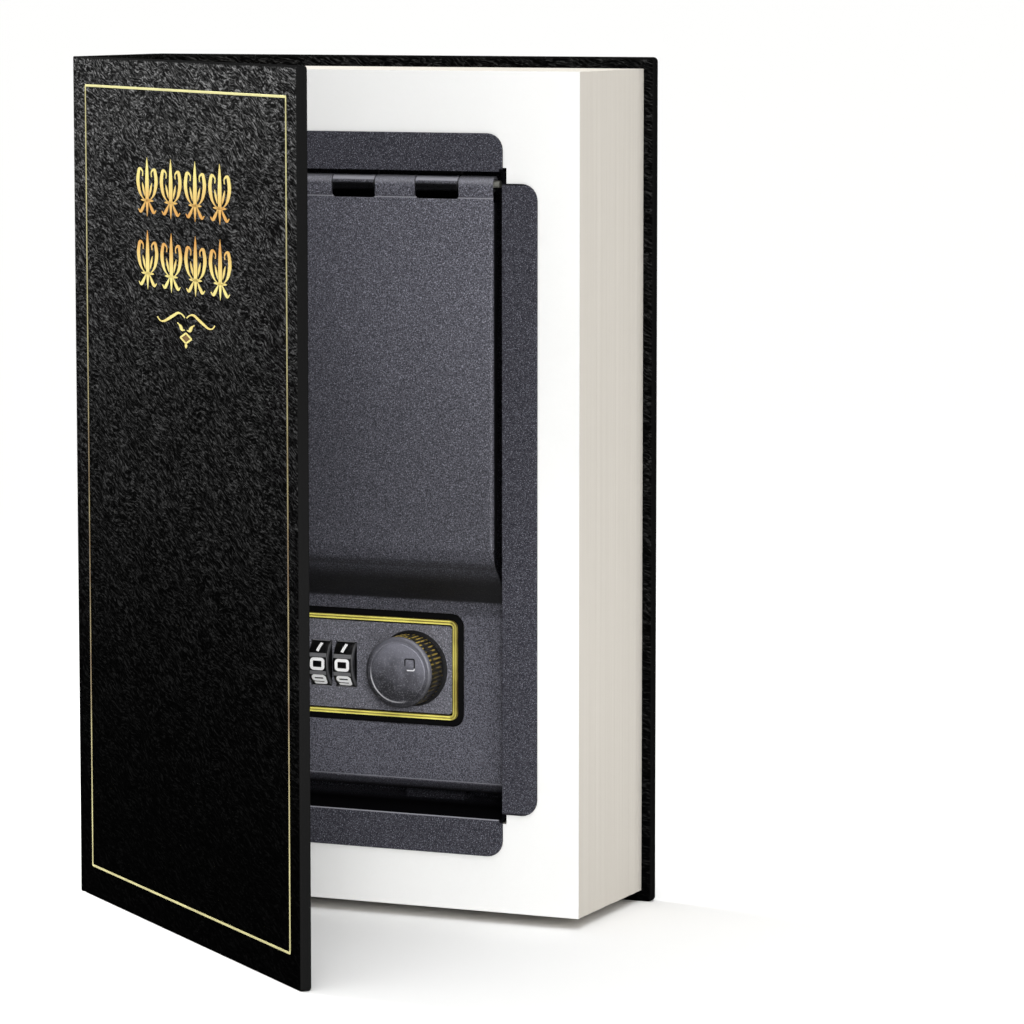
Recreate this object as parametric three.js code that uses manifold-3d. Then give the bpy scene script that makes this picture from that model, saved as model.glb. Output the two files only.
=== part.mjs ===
// A hardcover book that hides a small steel safe in its pages.
// Millimetres, +Z up. The book stands on the lower edges of its covers, its spine at the left.
// Book coordinates: x = 0 at the spine side of the pages, y = 0 at their front plane and
// z = 0 at the lower edge of the covers. The last group moves them, so that the origin
// is the middle of the back cover's lower edge.

import * as THREE from 'three';
import * as BufferGeometryUtils from 'three/addons/utils/BufferGeometryUtils.js';
import Module from 'manifold-3d';

const wasm = await Module();
wasm.setup();

// Pages
const wholePagesDepth = 11.5;
const overhang = 3.2;
const flyleafThick = 0.25;
const spineLiningThick = 0.4;

// Cover boards and their leatherette
const boardThick = 1.6;
const wrapThick = 0.4;
const glueGap = 0.3;
const turnIn = 12;

// Front cover hinge: a roll of leatherette between the spine and the board
const coverOpening = THREE.MathUtils.degToRad(40);
const foldRadius = 1.45;
const foldGap = 0.3;
const closedGap = 0.35;

// Steel tray
const steelThick = 0.8;
const trayWidth = 100.5;
const trayHeight = 179.9;
const trayBottomMargin = 26.2;
const trayTopMargin = 27.5;
const trayLeftMargin = 27.7;
const trayRightMargin = 22.8;
const trayFit = 0.3;
const tabWidth = 10.5;
const tabRadius = 4.6;
const sideTabTopInset = 3.2;
const sideTabBottomInset = 1.6;

// Lid hinge
const hingeDrop = 3.5;
const hingeInset = 1.6;
const knuckleRadius = 2.2;
const knuckleProud = 0.3;
const knuckleGap = 0.3;
const knuckleLength = 12.7;
const firstKnuckleCentre = 17;
const boxKnuckles = 3;
const knuckleNotchDrop = 2;
const pinRadius = 1;
const pinPlay = 0.25;
const pinOverhang = 1.5;

// Lid
const lidSideGap = 2.95;
const lidBottomGap = 7.6;
const joggleHeight = 13;
const joggleDepth = 10.3;
const joggleBend = 3;
const lipDepth = 6;
const lipDrop = 3.5;
const lipBend = 1.5;
const returnDepth = 3.2;
const returnTopGap = 1;
const studRadius = 1.5;
const studLength = 4.6;
const studMargin = 2.8;

// Lock front
const lockBottomMargin = 15.8;
const lockTopMargin = 4;
const lockSurround = 1.9;
const lidOpeningRadius = 3.5;
const trimLine = 1.3;
const trimRadius = 2;
const trimProud = 0.3;
const bezelGap = 0.3;
const bezelThick = 1;
const bezelRadius = 1;

// Lock housing
const flangeSideLap = 5.9;
const flangeTopLap = 1.5;
const flangeThick = 1.5;
const flangeRadius = 3;
const housingInset = 0.6;
const housingWall = 1.5;
const bossRadius = 2.4;
const bossInset = 3;
const bridgeThick = 1.5;
const bridgeGap = 0.5;
const bridgeHang = 4;
const backPlateThick = 1;
const lockScrewRadius = 1;
const lockScrewHeadRadius = 1.9;
const lockScrewHeadThick = 0.8;
const lockScrewReach = 4;
const nutWidth = 5.5;
const nutThick = 2;

// Combination dials
const dialCount = 3;
const digitsOnDial = 10;
const dialRadius = 8;
const dialWidth = 6;
const dialSpacing = 0.65;
const dialSideMargin = 9.2;
const dialKnobGap = 6.9;
const dialShowing = 2.82;
const dialGap = 0.3;
const ridgeHeight = 0.35;
const ridgeShare = 0.16;
const axleRadius = 1.5;
const gateDiscGap = 0.38;
const gateStep = 0.6;
const gateDiscThick = 1.1;
const gateNotchPlay = 0.15;
const gateNotchDepth = 1.1;
const runningGap = 0.3;

// Gate bar and detent leaf
const barThick = 1.7;
const barDepth = 1.6;
const barTravel = 1.2;
const barFloorGap = 0.2;
const barDialGap = 0.55;
const barOverrun = 4;
const toothWidth = 0.7;
const leafThick = 0.4;
const leafRoom = 1.3;
const leafEdgeGap = 1;
const leafRoot = 4;
const leafTip = -3;
const leafCrest = 0.6;
const leafFingerWidth = 4;
const leafBend = 0.2;

// Knob
const knobSideMargin = 1.6;
const knobCoverGap = 1;
const knobCapInset = 0.3;
const knobCapThick = 1.3;
const knobEdge = 0.35;
const knobGrooveInset = 1.2;
const knobGrooveWidth = 0.5;
const knobGrooveDepth = 0.3;
const knobDish = 0.35;
const knobDishShare = 0.8;
const knobMarkSize = 1.9;
const knobMarkDepth = 0.3;
const knobMarkOffset = 5.2;
const gripRadius = 10;
const gripRibs = 48;
const gripRibHeight = 0.4;
const collarLap = 0.8;
const collarThick = 0.4;
const shaftRadius = 4;
const shaftThreadRadius = 2.4;
const shaftSquare = 5.6;
const shaftTail = 3;
const shaftTailGap = 1.17;
const lobeGap = 0.8;
const lobeWidth = 4;

// Cam tongue and strike
const tongueGap = 0.8;
const tongueThick = 2;
const tongueWidth = 8;
const tongueLap = 6.4;
const tongueHubRadius = 6.2;
const camNutWidth = 8;
const camNutThick = 2.2;
const strikeThick = 1.6;
const strikeWidth = 18;
const strikeHeight = 11;
const strikePlay = 0.6;
const strikeFoot = 8;
const rivetRadius = 1.2;
const rivetHeadRadius = 2.2;
const rivetHeadThick = 1;
const rivetSpacing = 11;

// Code reset lever
const resetTravel = 6;
const resetStemWidth = 1.6;
const resetStemHeight = 3;
const resetHeadWidth = 4;
const resetHeadHeight = 5;
const resetHeadThick = 1.4;
const resetFootWidth = 3.2;
const resetFootThick = 1.1;

// Facets of round shapes, bends and cuts
const fineSides = 48;
const roundSides = 24;
const smallSides = 16;
const bendSteps = 4;
const cornerSteps = 5;
const overrun = 1;

// Places that follow from the sizes, in book coordinates
const coverThick = boardThick + 2 * wrapThick + 2 * glueGap;
const spineInner = -spineLiningThick;
const spineOuter = spineInner - coverThick;
const pageWidth = trayLeftMargin + trayWidth + trayRightMargin;
const foreEdge = pageWidth + overhang;
const bookHeight = trayBottomMargin + trayHeight + trayTopMargin + 2 * overhang;
const foldX = spineInner - coverThick / 2;
const closedInner = -(flyleafThick + steelThick + closedGap);
const foldY = closedInner - coverThick / 2;
const coverStart = foldRadius + foldGap;
const coverReach = foreEdge - foldX;

const trayLeft = trayLeftMargin;
const trayRight = trayLeft + trayWidth;
const trayBottom = overhang + trayBottomMargin;
const trayTop = trayBottom + trayHeight;
const tabBack = -flyleafThick;
const tabFront = tabBack - steelThick;

const hingeY = hingeInset;
const hingeZ = trayTop - hingeDrop;
const lidLeft = trayLeft + lidSideGap;
const lidRight = trayRight - lidSideGap;
const lidMiddle = (lidLeft + lidRight) / 2;
const lidFront = hingeY - knuckleRadius + knuckleProud;
const lidBottom = trayBottom + lidBottomGap;
const panelFront = lidFront + joggleDepth;
const panelBack = panelFront + steelThick;

const dialPitch = dialWidth + gateDiscThick + dialSpacing;
const dialStackWidth = (dialCount - 1) * dialPitch + dialWidth;
const dialReach = dialRadius + ridgeHeight;
const collarRadius = gripRadius + collarLap;
const cavityHeight = 2 * (dialReach + barDialGap + barThick + barTravel + barFloorGap);
const housingHeight = cavityHeight + 2 * housingWall;
const trimHeight = housingHeight + 2 * housingInset;
const trimInnerWidth = dialSideMargin + dialStackWidth + dialKnobGap + 2 * collarRadius + knobSideMargin;
const trimWidth = trimInnerWidth + 2 * trimLine;
const housingWidth = trimWidth - 2 * housingInset;
const cavityWidth = housingWidth - 2 * housingWall;

const lockX = lidMiddle;
const bezelFront = panelBack - bezelThick;
const trimFront = bezelFront - trimProud;
const lidOpeningWidth = trimWidth + 2 * lockSurround;
const lidOpeningHeight = trimHeight + 2 * lockSurround;
const lockZ = lidBottom + lockBottomMargin + lidOpeningHeight / 2;
const panelTop = lockZ + lidOpeningHeight / 2 + lockTopMargin;
const joggleTop = panelTop + joggleHeight;
const studXs = [-1, 1].map((sign) => lockX + sign * (lidOpeningWidth / 2 + studMargin));
const flangeWidth = lidOpeningWidth + 2 * flangeSideLap;
const flangeHeight = lidOpeningHeight + 2 * flangeTopLap;
const flangeBack = panelBack + flangeThick;
const cavityFront = flangeBack + housingWall;

const dialY = bezelFront + dialRadius - dialShowing;
const housingBack = dialY + dialReach + leafRoom;
const backPlateBack = housingBack + backPlateThick;
const gateDiscRadius = dialY - panelBack - gateDiscGap;
const sleeveRadius = gateDiscRadius - gateStep;
const stackLeft = lockX - trimInnerWidth / 2 + dialSideMargin;
const stackRight = stackLeft + dialStackWidth + gateDiscThick;
const dialXs = Array.from({ length: dialCount }, (_, i) => stackLeft + dialWidth / 2 + i * dialPitch);
const bridgeLeft = stackLeft - bridgeGap - bridgeThick;
const bridgeRight = stackRight + bridgeGap + bridgeThick;
const resetX = (lockX - cavityWidth / 2 + bridgeLeft) / 2;

const knobX = lockX + trimInnerWidth / 2 - knobSideMargin - collarRadius;
const knobFaceY = closedInner + knobCoverGap;
const knobCapRadius = gripRadius - knobCapInset;
const knobGrooveRadius = knobCapRadius - knobGrooveInset;
const gripFront = knobFaceY + knobCapThick;
const collarFront = bezelFront - collarThick;
const gripBack = collarFront - runningGap;
const lobeLength = cavityHeight / 2 - barFloorGap - barThick - lobeGap;
const tongueFront = backPlateBack + lockScrewHeadThick + tongueGap;
const tongueLength = lockZ - (trayBottom + strikeHeight - tongueLap);
const tongueBack = tongueFront + tongueThick;
const camNutBack = tongueBack + camNutThick;
const strikeBack = tongueFront - strikePlay;
const strikeFront = strikeBack - strikeThick;

const trayBack = tongueBack + shaftTail + shaftTailGap + steelThick;
const cutPagesDepth = trayBack + trayFit;
const pagesDepth = cutPagesDepth + wholePagesDepth;
const backOuter = pagesDepth + coverThick;

// Solids and surfaces

function solidOf(geometry) {
  const bare = geometry.clone();
  bare.deleteAttribute('normal');
  bare.deleteAttribute('uv');
  const merged = BufferGeometryUtils.mergeVertices(bare);
  return new wasm.Manifold(new wasm.Mesh({
    numProp: 3,
    vertProperties: new Float32Array(merged.attributes.position.array),
    triVerts: new Uint32Array(merged.index.array),
  }));
}

function surfaceOf(solid) {
  const mesh = solid.getMesh();
  const indexed = new THREE.BufferGeometry();
  indexed.setAttribute('position', new THREE.BufferAttribute(new Float32Array(mesh.vertProperties), 3));
  indexed.setIndex(new THREE.BufferAttribute(new Uint32Array(mesh.triVerts), 1));
  const faceted = indexed.toNonIndexed();
  faceted.computeVertexNormals();
  return faceted;
}

function joined(solids) {
  return solids.reduce((whole, next) => whole.add(next));
}

// A block between two opposite corners.
function block(low, high) {
  const size = high.map((value, i) => value - low[i]);
  const middle = high.map((value, i) => (value + low[i]) / 2);
  return solidOf(new THREE.BoxGeometry(...size).translate(...middle));
}

// A round bar along x, y or z. The middle gives its place across that axis, in x, y, z order.
function bar(axis, radius, from, to, middle, sides = roundSides) {
  const geometry = new THREE.CylinderGeometry(radius, radius, to - from, sides);
  const along = (from + to) / 2;
  if (axis === 'x') {
    geometry.rotateZ(-Math.PI / 2).translate(along, ...middle);
  } else if (axis === 'y') {
    geometry.translate(middle[0], along, middle[1]);
  } else {
    geometry.rotateX(Math.PI / 2).translate(...middle, along);
  }
  return solidOf(geometry);
}

// An outline in x and z, given a thickness along y.
function plate(outline, front, back) {
  const geometry = new THREE.ExtrudeGeometry(outline, {
    depth: back - front,
    bevelEnabled: false,
    curveSegments: cornerSteps,
  });
  return solidOf(geometry.rotateX(Math.PI / 2).translate(0, back, 0));
}

// An outline in y and z, drawn out along x.
function drawnOut(outline, from, to) {
  const geometry = new THREE.ExtrudeGeometry(outline, { depth: to - from, bevelEnabled: false });
  const turn = new THREE.Matrix4().makeBasis(
    new THREE.Vector3(0, 1, 0),
    new THREE.Vector3(0, 0, 1),
    new THREE.Vector3(1, 0, 0),
  );
  return solidOf(geometry.applyMatrix4(turn).translate(from, 0, 0));
}

// A rectangle about a middle point, with all corners rounded.
function roundedRectangle(middleX, middleZ, width, height, radius) {
  const left = middleX - width / 2;
  const right = middleX + width / 2;
  const low = middleZ - height / 2;
  const high = middleZ + height / 2;
  const outline = new THREE.Shape();
  outline.moveTo(left + radius, low);
  outline.lineTo(right - radius, low);
  outline.absarc(right - radius, low + radius, radius, -Math.PI / 2, 0);
  outline.absarc(right - radius, high - radius, radius, 0, Math.PI / 2);
  outline.absarc(left + radius, high - radius, radius, Math.PI / 2, Math.PI);
  outline.absarc(left + radius, low + radius, radius, Math.PI, 1.5 * Math.PI);
  return outline;
}

// A regular polygon about a middle point, by its width across flats.
function hexagon(middleX, middleZ, width) {
  const corners = Array.from({ length: 6 }, (_, i) => {
    const angle = (i * Math.PI) / 3;
    const reach = width / 2 / Math.cos(Math.PI / 6);
    return new THREE.Vector2(middleX + reach * Math.cos(angle), middleZ + reach * Math.sin(angle));
  });
  return new THREE.Shape(corners);
}

// A folded sheet seen from its edge: a line through the corners, each rounded by its bend,
// with the sheet's thickness on the left of the line.
function foldedSheet(corners, bends, thickness) {
  const line = [corners[0]];
  for (let i = 1; i < corners.length - 1; i += 1) {
    const before = corners[i].clone().sub(corners[i - 1]).normalize();
    const after = corners[i + 1].clone().sub(corners[i]).normalize();
    const reach = bends[i - 1] * Math.tan(before.angleTo(after) / 2);
    const start = corners[i].clone().addScaledVector(before, -reach);
    const end = corners[i].clone().addScaledVector(after, reach);
    line.push(...new THREE.QuadraticBezierCurve(start, corners[i], end).getPoints(bendSteps));
  }
  line.push(corners[corners.length - 1]);
  const behind = line.map((point, i) => {
    const before = point.clone().sub(line[Math.max(i - 1, 0)]).normalize();
    const after = line[Math.min(i + 1, line.length - 1)].clone().sub(point).normalize();
    const along = before.add(after).normalize();
    const halfTurn = i > 0 && i < line.length - 1 ? along.angleTo(after) : 0;
    const offset = thickness / Math.cos(halfTurn);
    return new THREE.Vector2(point.x - along.y * offset, point.y + along.x * offset);
  });
  return new THREE.Shape([...line, ...behind.reverse()]);
}

// A profile of radius and y, turned about the y axis.
function turned(profile, x, z, sides) {
  const points = profile.map(([radius, y]) => new THREE.Vector2(radius, y));
  return solidOf(new THREE.LatheGeometry(points, sides).translate(x, 0, z));
}

// Materials
const finishes = {
  leatherette: { color: 0x0d0d0e, roughness: 0.45, metalness: 0 },
  board: { color: 0x8a8378, roughness: 0.9, metalness: 0 },
  paper: { color: 0xe9e6dc, roughness: 0.95, metalness: 0 },
  flyleaf: { color: 0xf6f6f4, roughness: 0.9, metalness: 0 },
  endpaper: { color: 0x141416, roughness: 0.7, metalness: 0 },
  powderCoat: { color: 0x3b3b40, roughness: 0.6, metalness: 0.2 },
  blackPlastic: { color: 0x101012, roughness: 0.5, metalness: 0 },
  brass: { color: 0xc7a44a, roughness: 0.3, metalness: 1 },
  steel: { color: 0x9a9ca0, roughness: 0.35, metalness: 1 },
  knobGrey: { color: 0x3f4044, roughness: 0.45, metalness: 0.4 },
};

const book = new THREE.Group();
const frontCover = new THREE.Group();
frontCover.position.set(foldX, foldY, 0);
frontCover.rotation.z = -coverOpening;
book.add(frontCover);

function addPiece(name, solid, finish, parent = book) {
  const piece = new THREE.Mesh(surfaceOf(solid), new THREE.MeshStandardMaterial(finishes[finish]));
  piece.name = name;
  parent.add(piece);
}

// Leatherette round a board: an outer skin, four edges and turned-in margins on the inner side,
// where a window shows the endpaper. Its own x runs from 0 to the length, y from the outer face
// at 0 to the inner face at the cover's thickness.
function coverPieces(length) {
  const inner = wrapThick + glueGap;
  const low = turnIn + glueGap;
  const skin = block([0, 0, 0], [length, coverThick, bookHeight])
    .subtract(block(
      [wrapThick, wrapThick, wrapThick],
      [length - wrapThick, coverThick - wrapThick, bookHeight - wrapThick],
    ))
    .subtract(block(
      [turnIn, coverThick - 2 * wrapThick, turnIn],
      [length - turnIn, coverThick + overrun, bookHeight - turnIn],
    ));
  const board = block([inner, inner, inner], [length - inner, coverThick - inner, bookHeight - inner]);
  const endpaper = block(
    [low, coverThick - wrapThick, low],
    [length - low, coverThick, bookHeight - low],
  );
  return { skin, board, endpaper };
}

// Back cover
{
  const { skin, board, endpaper } = coverPieces(foreEdge - spineOuter);
  const place = (solid) => solid.scale([1, -1, 1]).translate([spineOuter, backOuter, 0]);
  addPiece('back_cover_wrap', place(skin), 'leatherette');
  addPiece('back_cover_board', place(board), 'board');
  addPiece('back_endpaper', place(endpaper), 'paper');
}

// Spine
{
  const spineFront = foldY + foldRadius + foldGap;
  const inner = wrapThick + glueGap;
  const skin = block([spineOuter, spineFront, 0], [spineInner, pagesDepth, bookHeight])
    .subtract(block(
      [spineOuter + wrapThick, spineFront + wrapThick, wrapThick],
      [spineInner - wrapThick, pagesDepth - wrapThick, bookHeight - wrapThick],
    ))
    .subtract(block(
      [spineInner - 2 * wrapThick, turnIn, turnIn],
      [spineInner + overrun, pagesDepth - turnIn, bookHeight - turnIn],
    ));
  addPiece('spine_wrap', skin, 'leatherette');
  addPiece('spine_board', block(
    [spineOuter + inner, spineFront + inner, inner],
    [spineInner - inner, pagesDepth - inner, bookHeight - inner],
  ), 'board');
  addPiece('spine_lining', block(
    [spineInner, 0, overhang],
    [0, pagesDepth, bookHeight - overhang],
  ), 'paper');
}

// Front cover, about its own hinge line
addPiece('cover_fold', bar('z', foldRadius, 0, bookHeight, [foldX, foldY]), 'leatherette');
{
  const { skin, board, endpaper } = coverPieces(coverReach - coverStart);
  const place = (solid) => solid.translate([coverStart, -coverThick / 2, 0]);
  addPiece('front_cover_wrap', place(skin), 'leatherette', frontCover);
  addPiece('front_cover_board', place(board), 'board', frontCover);
  addPiece('front_endpaper', place(endpaper), 'endpaper', frontCover);
}

// Pages: the front ones are cut out round the tray
{
  const outside = steelThick + trayFit;
  const hole = (front, back) => block(
    [trayLeft - outside, front - overrun, trayBottom - outside],
    [trayRight + outside, back + overrun, trayTop + outside],
  );
  const sheets = (front, back) => block(
    [0, front, overhang],
    [pageWidth, back, bookHeight - overhang],
  );
  addPiece('cut_pages', sheets(0, cutPagesDepth).subtract(hole(0, cutPagesDepth)), 'paper');
  addPiece('whole_pages', sheets(cutPagesDepth, pagesDepth), 'paper');
  addPiece('flyleaf', sheets(-flyleafThick, 0).subtract(hole(-flyleafThick, 0)), 'flyleaf');
}

// Knuckles of the lid hinge, counted from the lid's right edge
const knucklePitch = 2 * knuckleLength;
const boxKnuckleXs = Array.from({ length: boxKnuckles }, (_, i) => {
  return lidRight - firstKnuckleCentre - i * knucklePitch;
});

function knuckle(from, to) {
  return bar('x', knuckleRadius, from, to, [hingeY, hingeZ]);
}

const hingeBore = bar(
  'x', pinRadius + pinPlay, lidLeft - overrun, lidRight + overrun, [hingeY, hingeZ], smallSides,
);

// Steel tray: a pan with four fixing tabs on the page face, and the fixed hinge knuckles
function tab(side) {
  const width = side === 'top' || side === 'bottom'
    ? trayWidth
    : trayHeight - sideTabTopInset - sideTabBottomInset;
  const r = tabRadius;
  const outline = new THREE.Shape();
  outline.moveTo(-width / 2, 0);
  outline.lineTo(width / 2, 0);
  outline.lineTo(width / 2, tabWidth - r);
  outline.absarc(width / 2 - r, tabWidth - r, r, 0, Math.PI / 2);
  outline.absarc(-width / 2 + r, tabWidth - r, r, Math.PI / 2, Math.PI);
  const flat = plate(outline, tabFront, tabBack);
  const middleX = (trayLeft + trayRight) / 2;
  const sideZ = (trayBottom + sideTabBottomInset + trayTop - sideTabTopInset) / 2;
  if (side === 'top') {
    return flat.translate([middleX, 0, trayTop]);
  }
  if (side === 'bottom') {
    return flat.rotate([0, 180, 0]).translate([middleX, 0, trayBottom]);
  }
  if (side === 'right') {
    return flat.rotate([0, 90, 0]).translate([trayRight, 0, sideZ]);
  }
  return flat.rotate([0, -90, 0]).translate([trayLeft, 0, sideZ]);
}

const rivetXs = [-1, 1].map((sign) => knobX + (sign * rivetSpacing) / 2);
const rivetY = (strikeBack + strikeFront + strikeFoot) / 2;
{
  const pan = block(
    [trayLeft - steelThick, tabFront, trayBottom - steelThick],
    [trayRight + steelThick, trayBack, trayTop + steelThick],
  ).subtract(block(
    [trayLeft, tabFront - overrun, trayBottom],
    [trayRight, trayBack - steelThick, trayTop],
  ));
  const knuckleBack = hingeY + knuckleRadius;
  const leaves = boxKnuckleXs.map((x) => {
    const from = x - knuckleLength / 2;
    const to = x + knuckleLength / 2;
    const leaf = block(
      [from, knuckleBack - steelThick, hingeZ],
      [to, knuckleBack, trayTop + steelThick / 2],
    );
    return knuckle(from, to).add(leaf);
  });
  const rivetHoles = rivetXs.map((x) => bar(
    'z', rivetRadius + runningGap, trayBottom - steelThick - overrun, trayBottom + overrun,
    [x, rivetY], smallSides,
  ));
  const tray = joined([pan, ...leaves, ...['top', 'bottom', 'left', 'right'].map(tab)])
    .subtract(joined([hingeBore, ...rivetHoles]));
  addPiece('safe_tray', tray, 'powderCoat');
}

addPiece('hinge_pin', bar(
  'x', pinRadius, lidLeft - pinOverhang, lidRight + pinOverhang, [hingeY, hingeZ], smallSides,
), 'steel');

// Strike that the cam tongue catches behind, riveted to the tray's lower wall
{
  const left = knobX - strikeWidth / 2;
  const right = knobX + strikeWidth / 2;
  const upright = block([left, strikeFront, trayBottom], [right, strikeBack, trayBottom + strikeHeight]);
  const foot = block(
    [left, strikeFront, trayBottom],
    [right, strikeFront + strikeFoot, trayBottom + strikeThick],
  );
  const holes = rivetXs.map((x) => bar(
    'z', rivetRadius + runningGap, trayBottom - overrun, trayBottom + strikeThick + overrun,
    [x, rivetY], smallSides,
  ));
  addPiece('strike_bracket', upright.add(foot).subtract(joined(holes)), 'powderCoat');
  rivetXs.forEach((x, i) => {
    const headBottom = trayBottom + strikeThick;
    const headTop = headBottom + rivetHeadThick;
    const shank = bar('z', rivetRadius, trayBottom - steelThick, headTop, [x, rivetY], smallSides);
    const head = bar('z', rivetHeadRadius, headBottom, headTop, [x, rivetY], smallSides);
    addPiece(`strike_rivet_${i + 1}`, shank.add(head), 'steel');
  });
}

// Lid: one folded sheet with rolled knuckles, side returns, a window for the lock and two studs
{
  const corners = [
    new THREE.Vector2(lidFront, hingeZ),
    new THREE.Vector2(lidFront, joggleTop),
    new THREE.Vector2(panelFront, panelTop),
    new THREE.Vector2(panelFront, lidBottom),
    new THREE.Vector2(panelFront + lipDepth, lidBottom - lipDrop),
  ];
  const sheet = drawnOut(
    foldedSheet(corners, [joggleBend, joggleBend, lipBend], steelThick), lidLeft, lidRight,
  );
  const notches = boxKnuckleXs.map((x) => block(
    [
      x - knuckleLength / 2 - knuckleGap,
      lidFront - knuckleRadius,
      hingeZ - knuckleRadius - knuckleNotchDrop,
    ],
    [
      x + knuckleLength / 2 + knuckleGap,
      hingeY + knuckleRadius + overrun,
      hingeZ + knuckleRadius + overrun,
    ],
  ));
  const returns = [
    [lidLeft, lidLeft + steelThick],
    [lidRight - steelThick, lidRight],
  ].map(([from, to]) => block(
    [from, lidFront, joggleTop + joggleBend],
    [to, lidFront + returnDepth, hingeZ - knuckleRadius - knuckleNotchDrop - returnTopGap],
  ));
  const window = plate(
    roundedRectangle(lockX, lockZ, lidOpeningWidth, lidOpeningHeight, lidOpeningRadius),
    panelFront - overrun,
    panelBack + overrun,
  );
  const studs = studXs.map((x) => bar(
    'y', studRadius, panelFront + steelThick / 2, panelBack + studLength, [x, lockZ], smallSides,
  ));
  const lid = joined([sheet, knuckle(lidLeft, lidRight), ...returns])
    .subtract(joined([window, hingeBore, ...notches]))
    .add(joined(studs));
  addPiece('lid_plate', lid, 'powderCoat');
}

// Lock: flange and housing behind the lid, trim and bezel in its window
const bossPlaces = [-1, 1].flatMap((sideX) => [-1, 1].map((sideZ) => [
  lockX + sideX * (housingWidth / 2 - bossInset),
  lockZ + sideZ * (housingHeight / 2 - bossInset),
]));
const shaftBoreRadius = shaftRadius + runningGap;
const screwHoleRadius = lockScrewRadius + runningGap;

function lockBlock(width, front, back, height) {
  return block(
    [lockX - width / 2, front, lockZ - height / 2],
    [lockX + width / 2, back, lockZ + height / 2],
  );
}

function shaftBore(front, back) {
  return bar('y', shaftBoreRadius, front - overrun, back + overrun, [knobX, lockZ]);
}

{
  const flange = plate(
    roundedRectangle(lockX, lockZ, flangeWidth, flangeHeight, flangeRadius), panelBack, flangeBack,
  );
  const studHoles = studXs.map((x) => bar(
    'y', studRadius + runningGap, panelBack - overrun, flangeBack + overrun, [x, lockZ], smallSides,
  ));
  const shell = lockBlock(housingWidth, panelBack, housingBack, housingHeight)
    .subtract(lockBlock(cavityWidth, cavityFront, housingBack + overrun, cavityHeight));
  const dialWindow = block(
    [stackLeft - dialGap, panelBack - overrun, lockZ - dialReach - dialGap],
    [stackRight + dialGap, cavityFront + overrun, lockZ + dialReach + dialGap],
  );
  const bosses = bossPlaces.map((place) => bar('y', bossRadius, flangeBack, housingBack, place, smallSides));
  const pilots = bossPlaces.map((place) => bar(
    'y', screwHoleRadius, housingBack - lockScrewReach - overrun, housingBack + overrun, place, smallSides,
  ));
  const bridges = [
    [bridgeLeft, bridgeLeft + bridgeThick],
    [bridgeRight - bridgeThick, bridgeRight],
  ].map(([from, to]) => block(
    [from, cavityFront - housingWall / 2, lockZ - bridgeHang],
    [to, dialY + bridgeHang, lockZ + (cavityHeight + housingWall) / 2],
  ));
  const axleHole = bar(
    'x', axleRadius + runningGap, bridgeLeft - overrun, bridgeRight + overrun, [dialY, lockZ], smallSides,
  );
  const housing = joined([shell, flange, ...bosses])
    .subtract(dialWindow)
    .add(joined(bridges))
    .subtract(joined([axleHole, shaftBore(panelBack, cavityFront), ...studHoles, ...pilots]));
  addPiece('lock_housing', housing, 'blackPlastic');
}

{
  const outer = roundedRectangle(lockX, lockZ, trimWidth, trimHeight, trimRadius);
  const inner = roundedRectangle(
    lockX, lockZ, trimWidth - 2 * trimLine, trimHeight - 2 * trimLine, bezelRadius,
  );
  const trim = plate(outer, trimFront, panelBack)
    .subtract(plate(inner, trimFront - overrun, panelBack + overrun));
  addPiece('lock_trim', trim, 'brass');
}

{
  const face = roundedRectangle(
    lockX,
    lockZ,
    trimWidth - 2 * (trimLine + bezelGap),
    trimHeight - 2 * (trimLine + bezelGap),
    bezelRadius,
  );
  const halfWindow = Math.sqrt(dialReach ** 2 - (dialY - panelBack) ** 2) + dialGap;
  const windows = dialXs.map((x) => block(
    [x - dialWidth / 2 - dialGap, bezelFront - overrun, lockZ - halfWindow],
    [x + dialWidth / 2 + dialGap, panelBack + overrun, lockZ + halfWindow],
  ));
  const bezel = plate(face, bezelFront, panelBack)
    .subtract(joined([...windows, shaftBore(bezelFront, panelBack)]));
  addPiece('lock_bezel', bezel, 'powderCoat');
}

{
  const slot = block(
    [
      resetX - resetStemWidth / 2 - runningGap,
      housingBack - overrun,
      lockZ - resetStemHeight / 2 - runningGap,
    ],
    [
      resetX + resetStemWidth / 2 + runningGap,
      backPlateBack + overrun,
      lockZ + resetStemHeight / 2 + resetTravel + runningGap,
    ],
  );
  const holes = bossPlaces.map((place) => bar(
    'y', screwHoleRadius, housingBack - overrun, backPlateBack + overrun, place, smallSides,
  ));
  const lockBack = lockBlock(housingWidth, housingBack, backPlateBack, housingHeight)
    .subtract(joined([slot, shaftBore(housingBack, backPlateBack), ...holes]));
  addPiece('lock_back_plate', lockBack, 'steel');
  bossPlaces.forEach((place, i) => {
    const headBack = backPlateBack + lockScrewHeadThick;
    const shank = bar('y', lockScrewRadius, housingBack - lockScrewReach, headBack, place, smallSides);
    const head = bar('y', lockScrewHeadRadius, backPlateBack, headBack, place, smallSides);
    addPiece(`lock_screw_${i + 1}`, shank.add(head), 'steel');
  });
}

studXs.forEach((x, i) => {
  const nut = plate(hexagon(x, lockZ, nutWidth), flangeBack, flangeBack + nutThick)
    .subtract(bar(
      'y', studRadius + runningGap, flangeBack - overrun, flangeBack + nutThick + overrun,
      [x, lockZ], smallSides,
    ));
  addPiece(`stud_nut_${i + 1}`, nut, 'steel');
});

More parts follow.
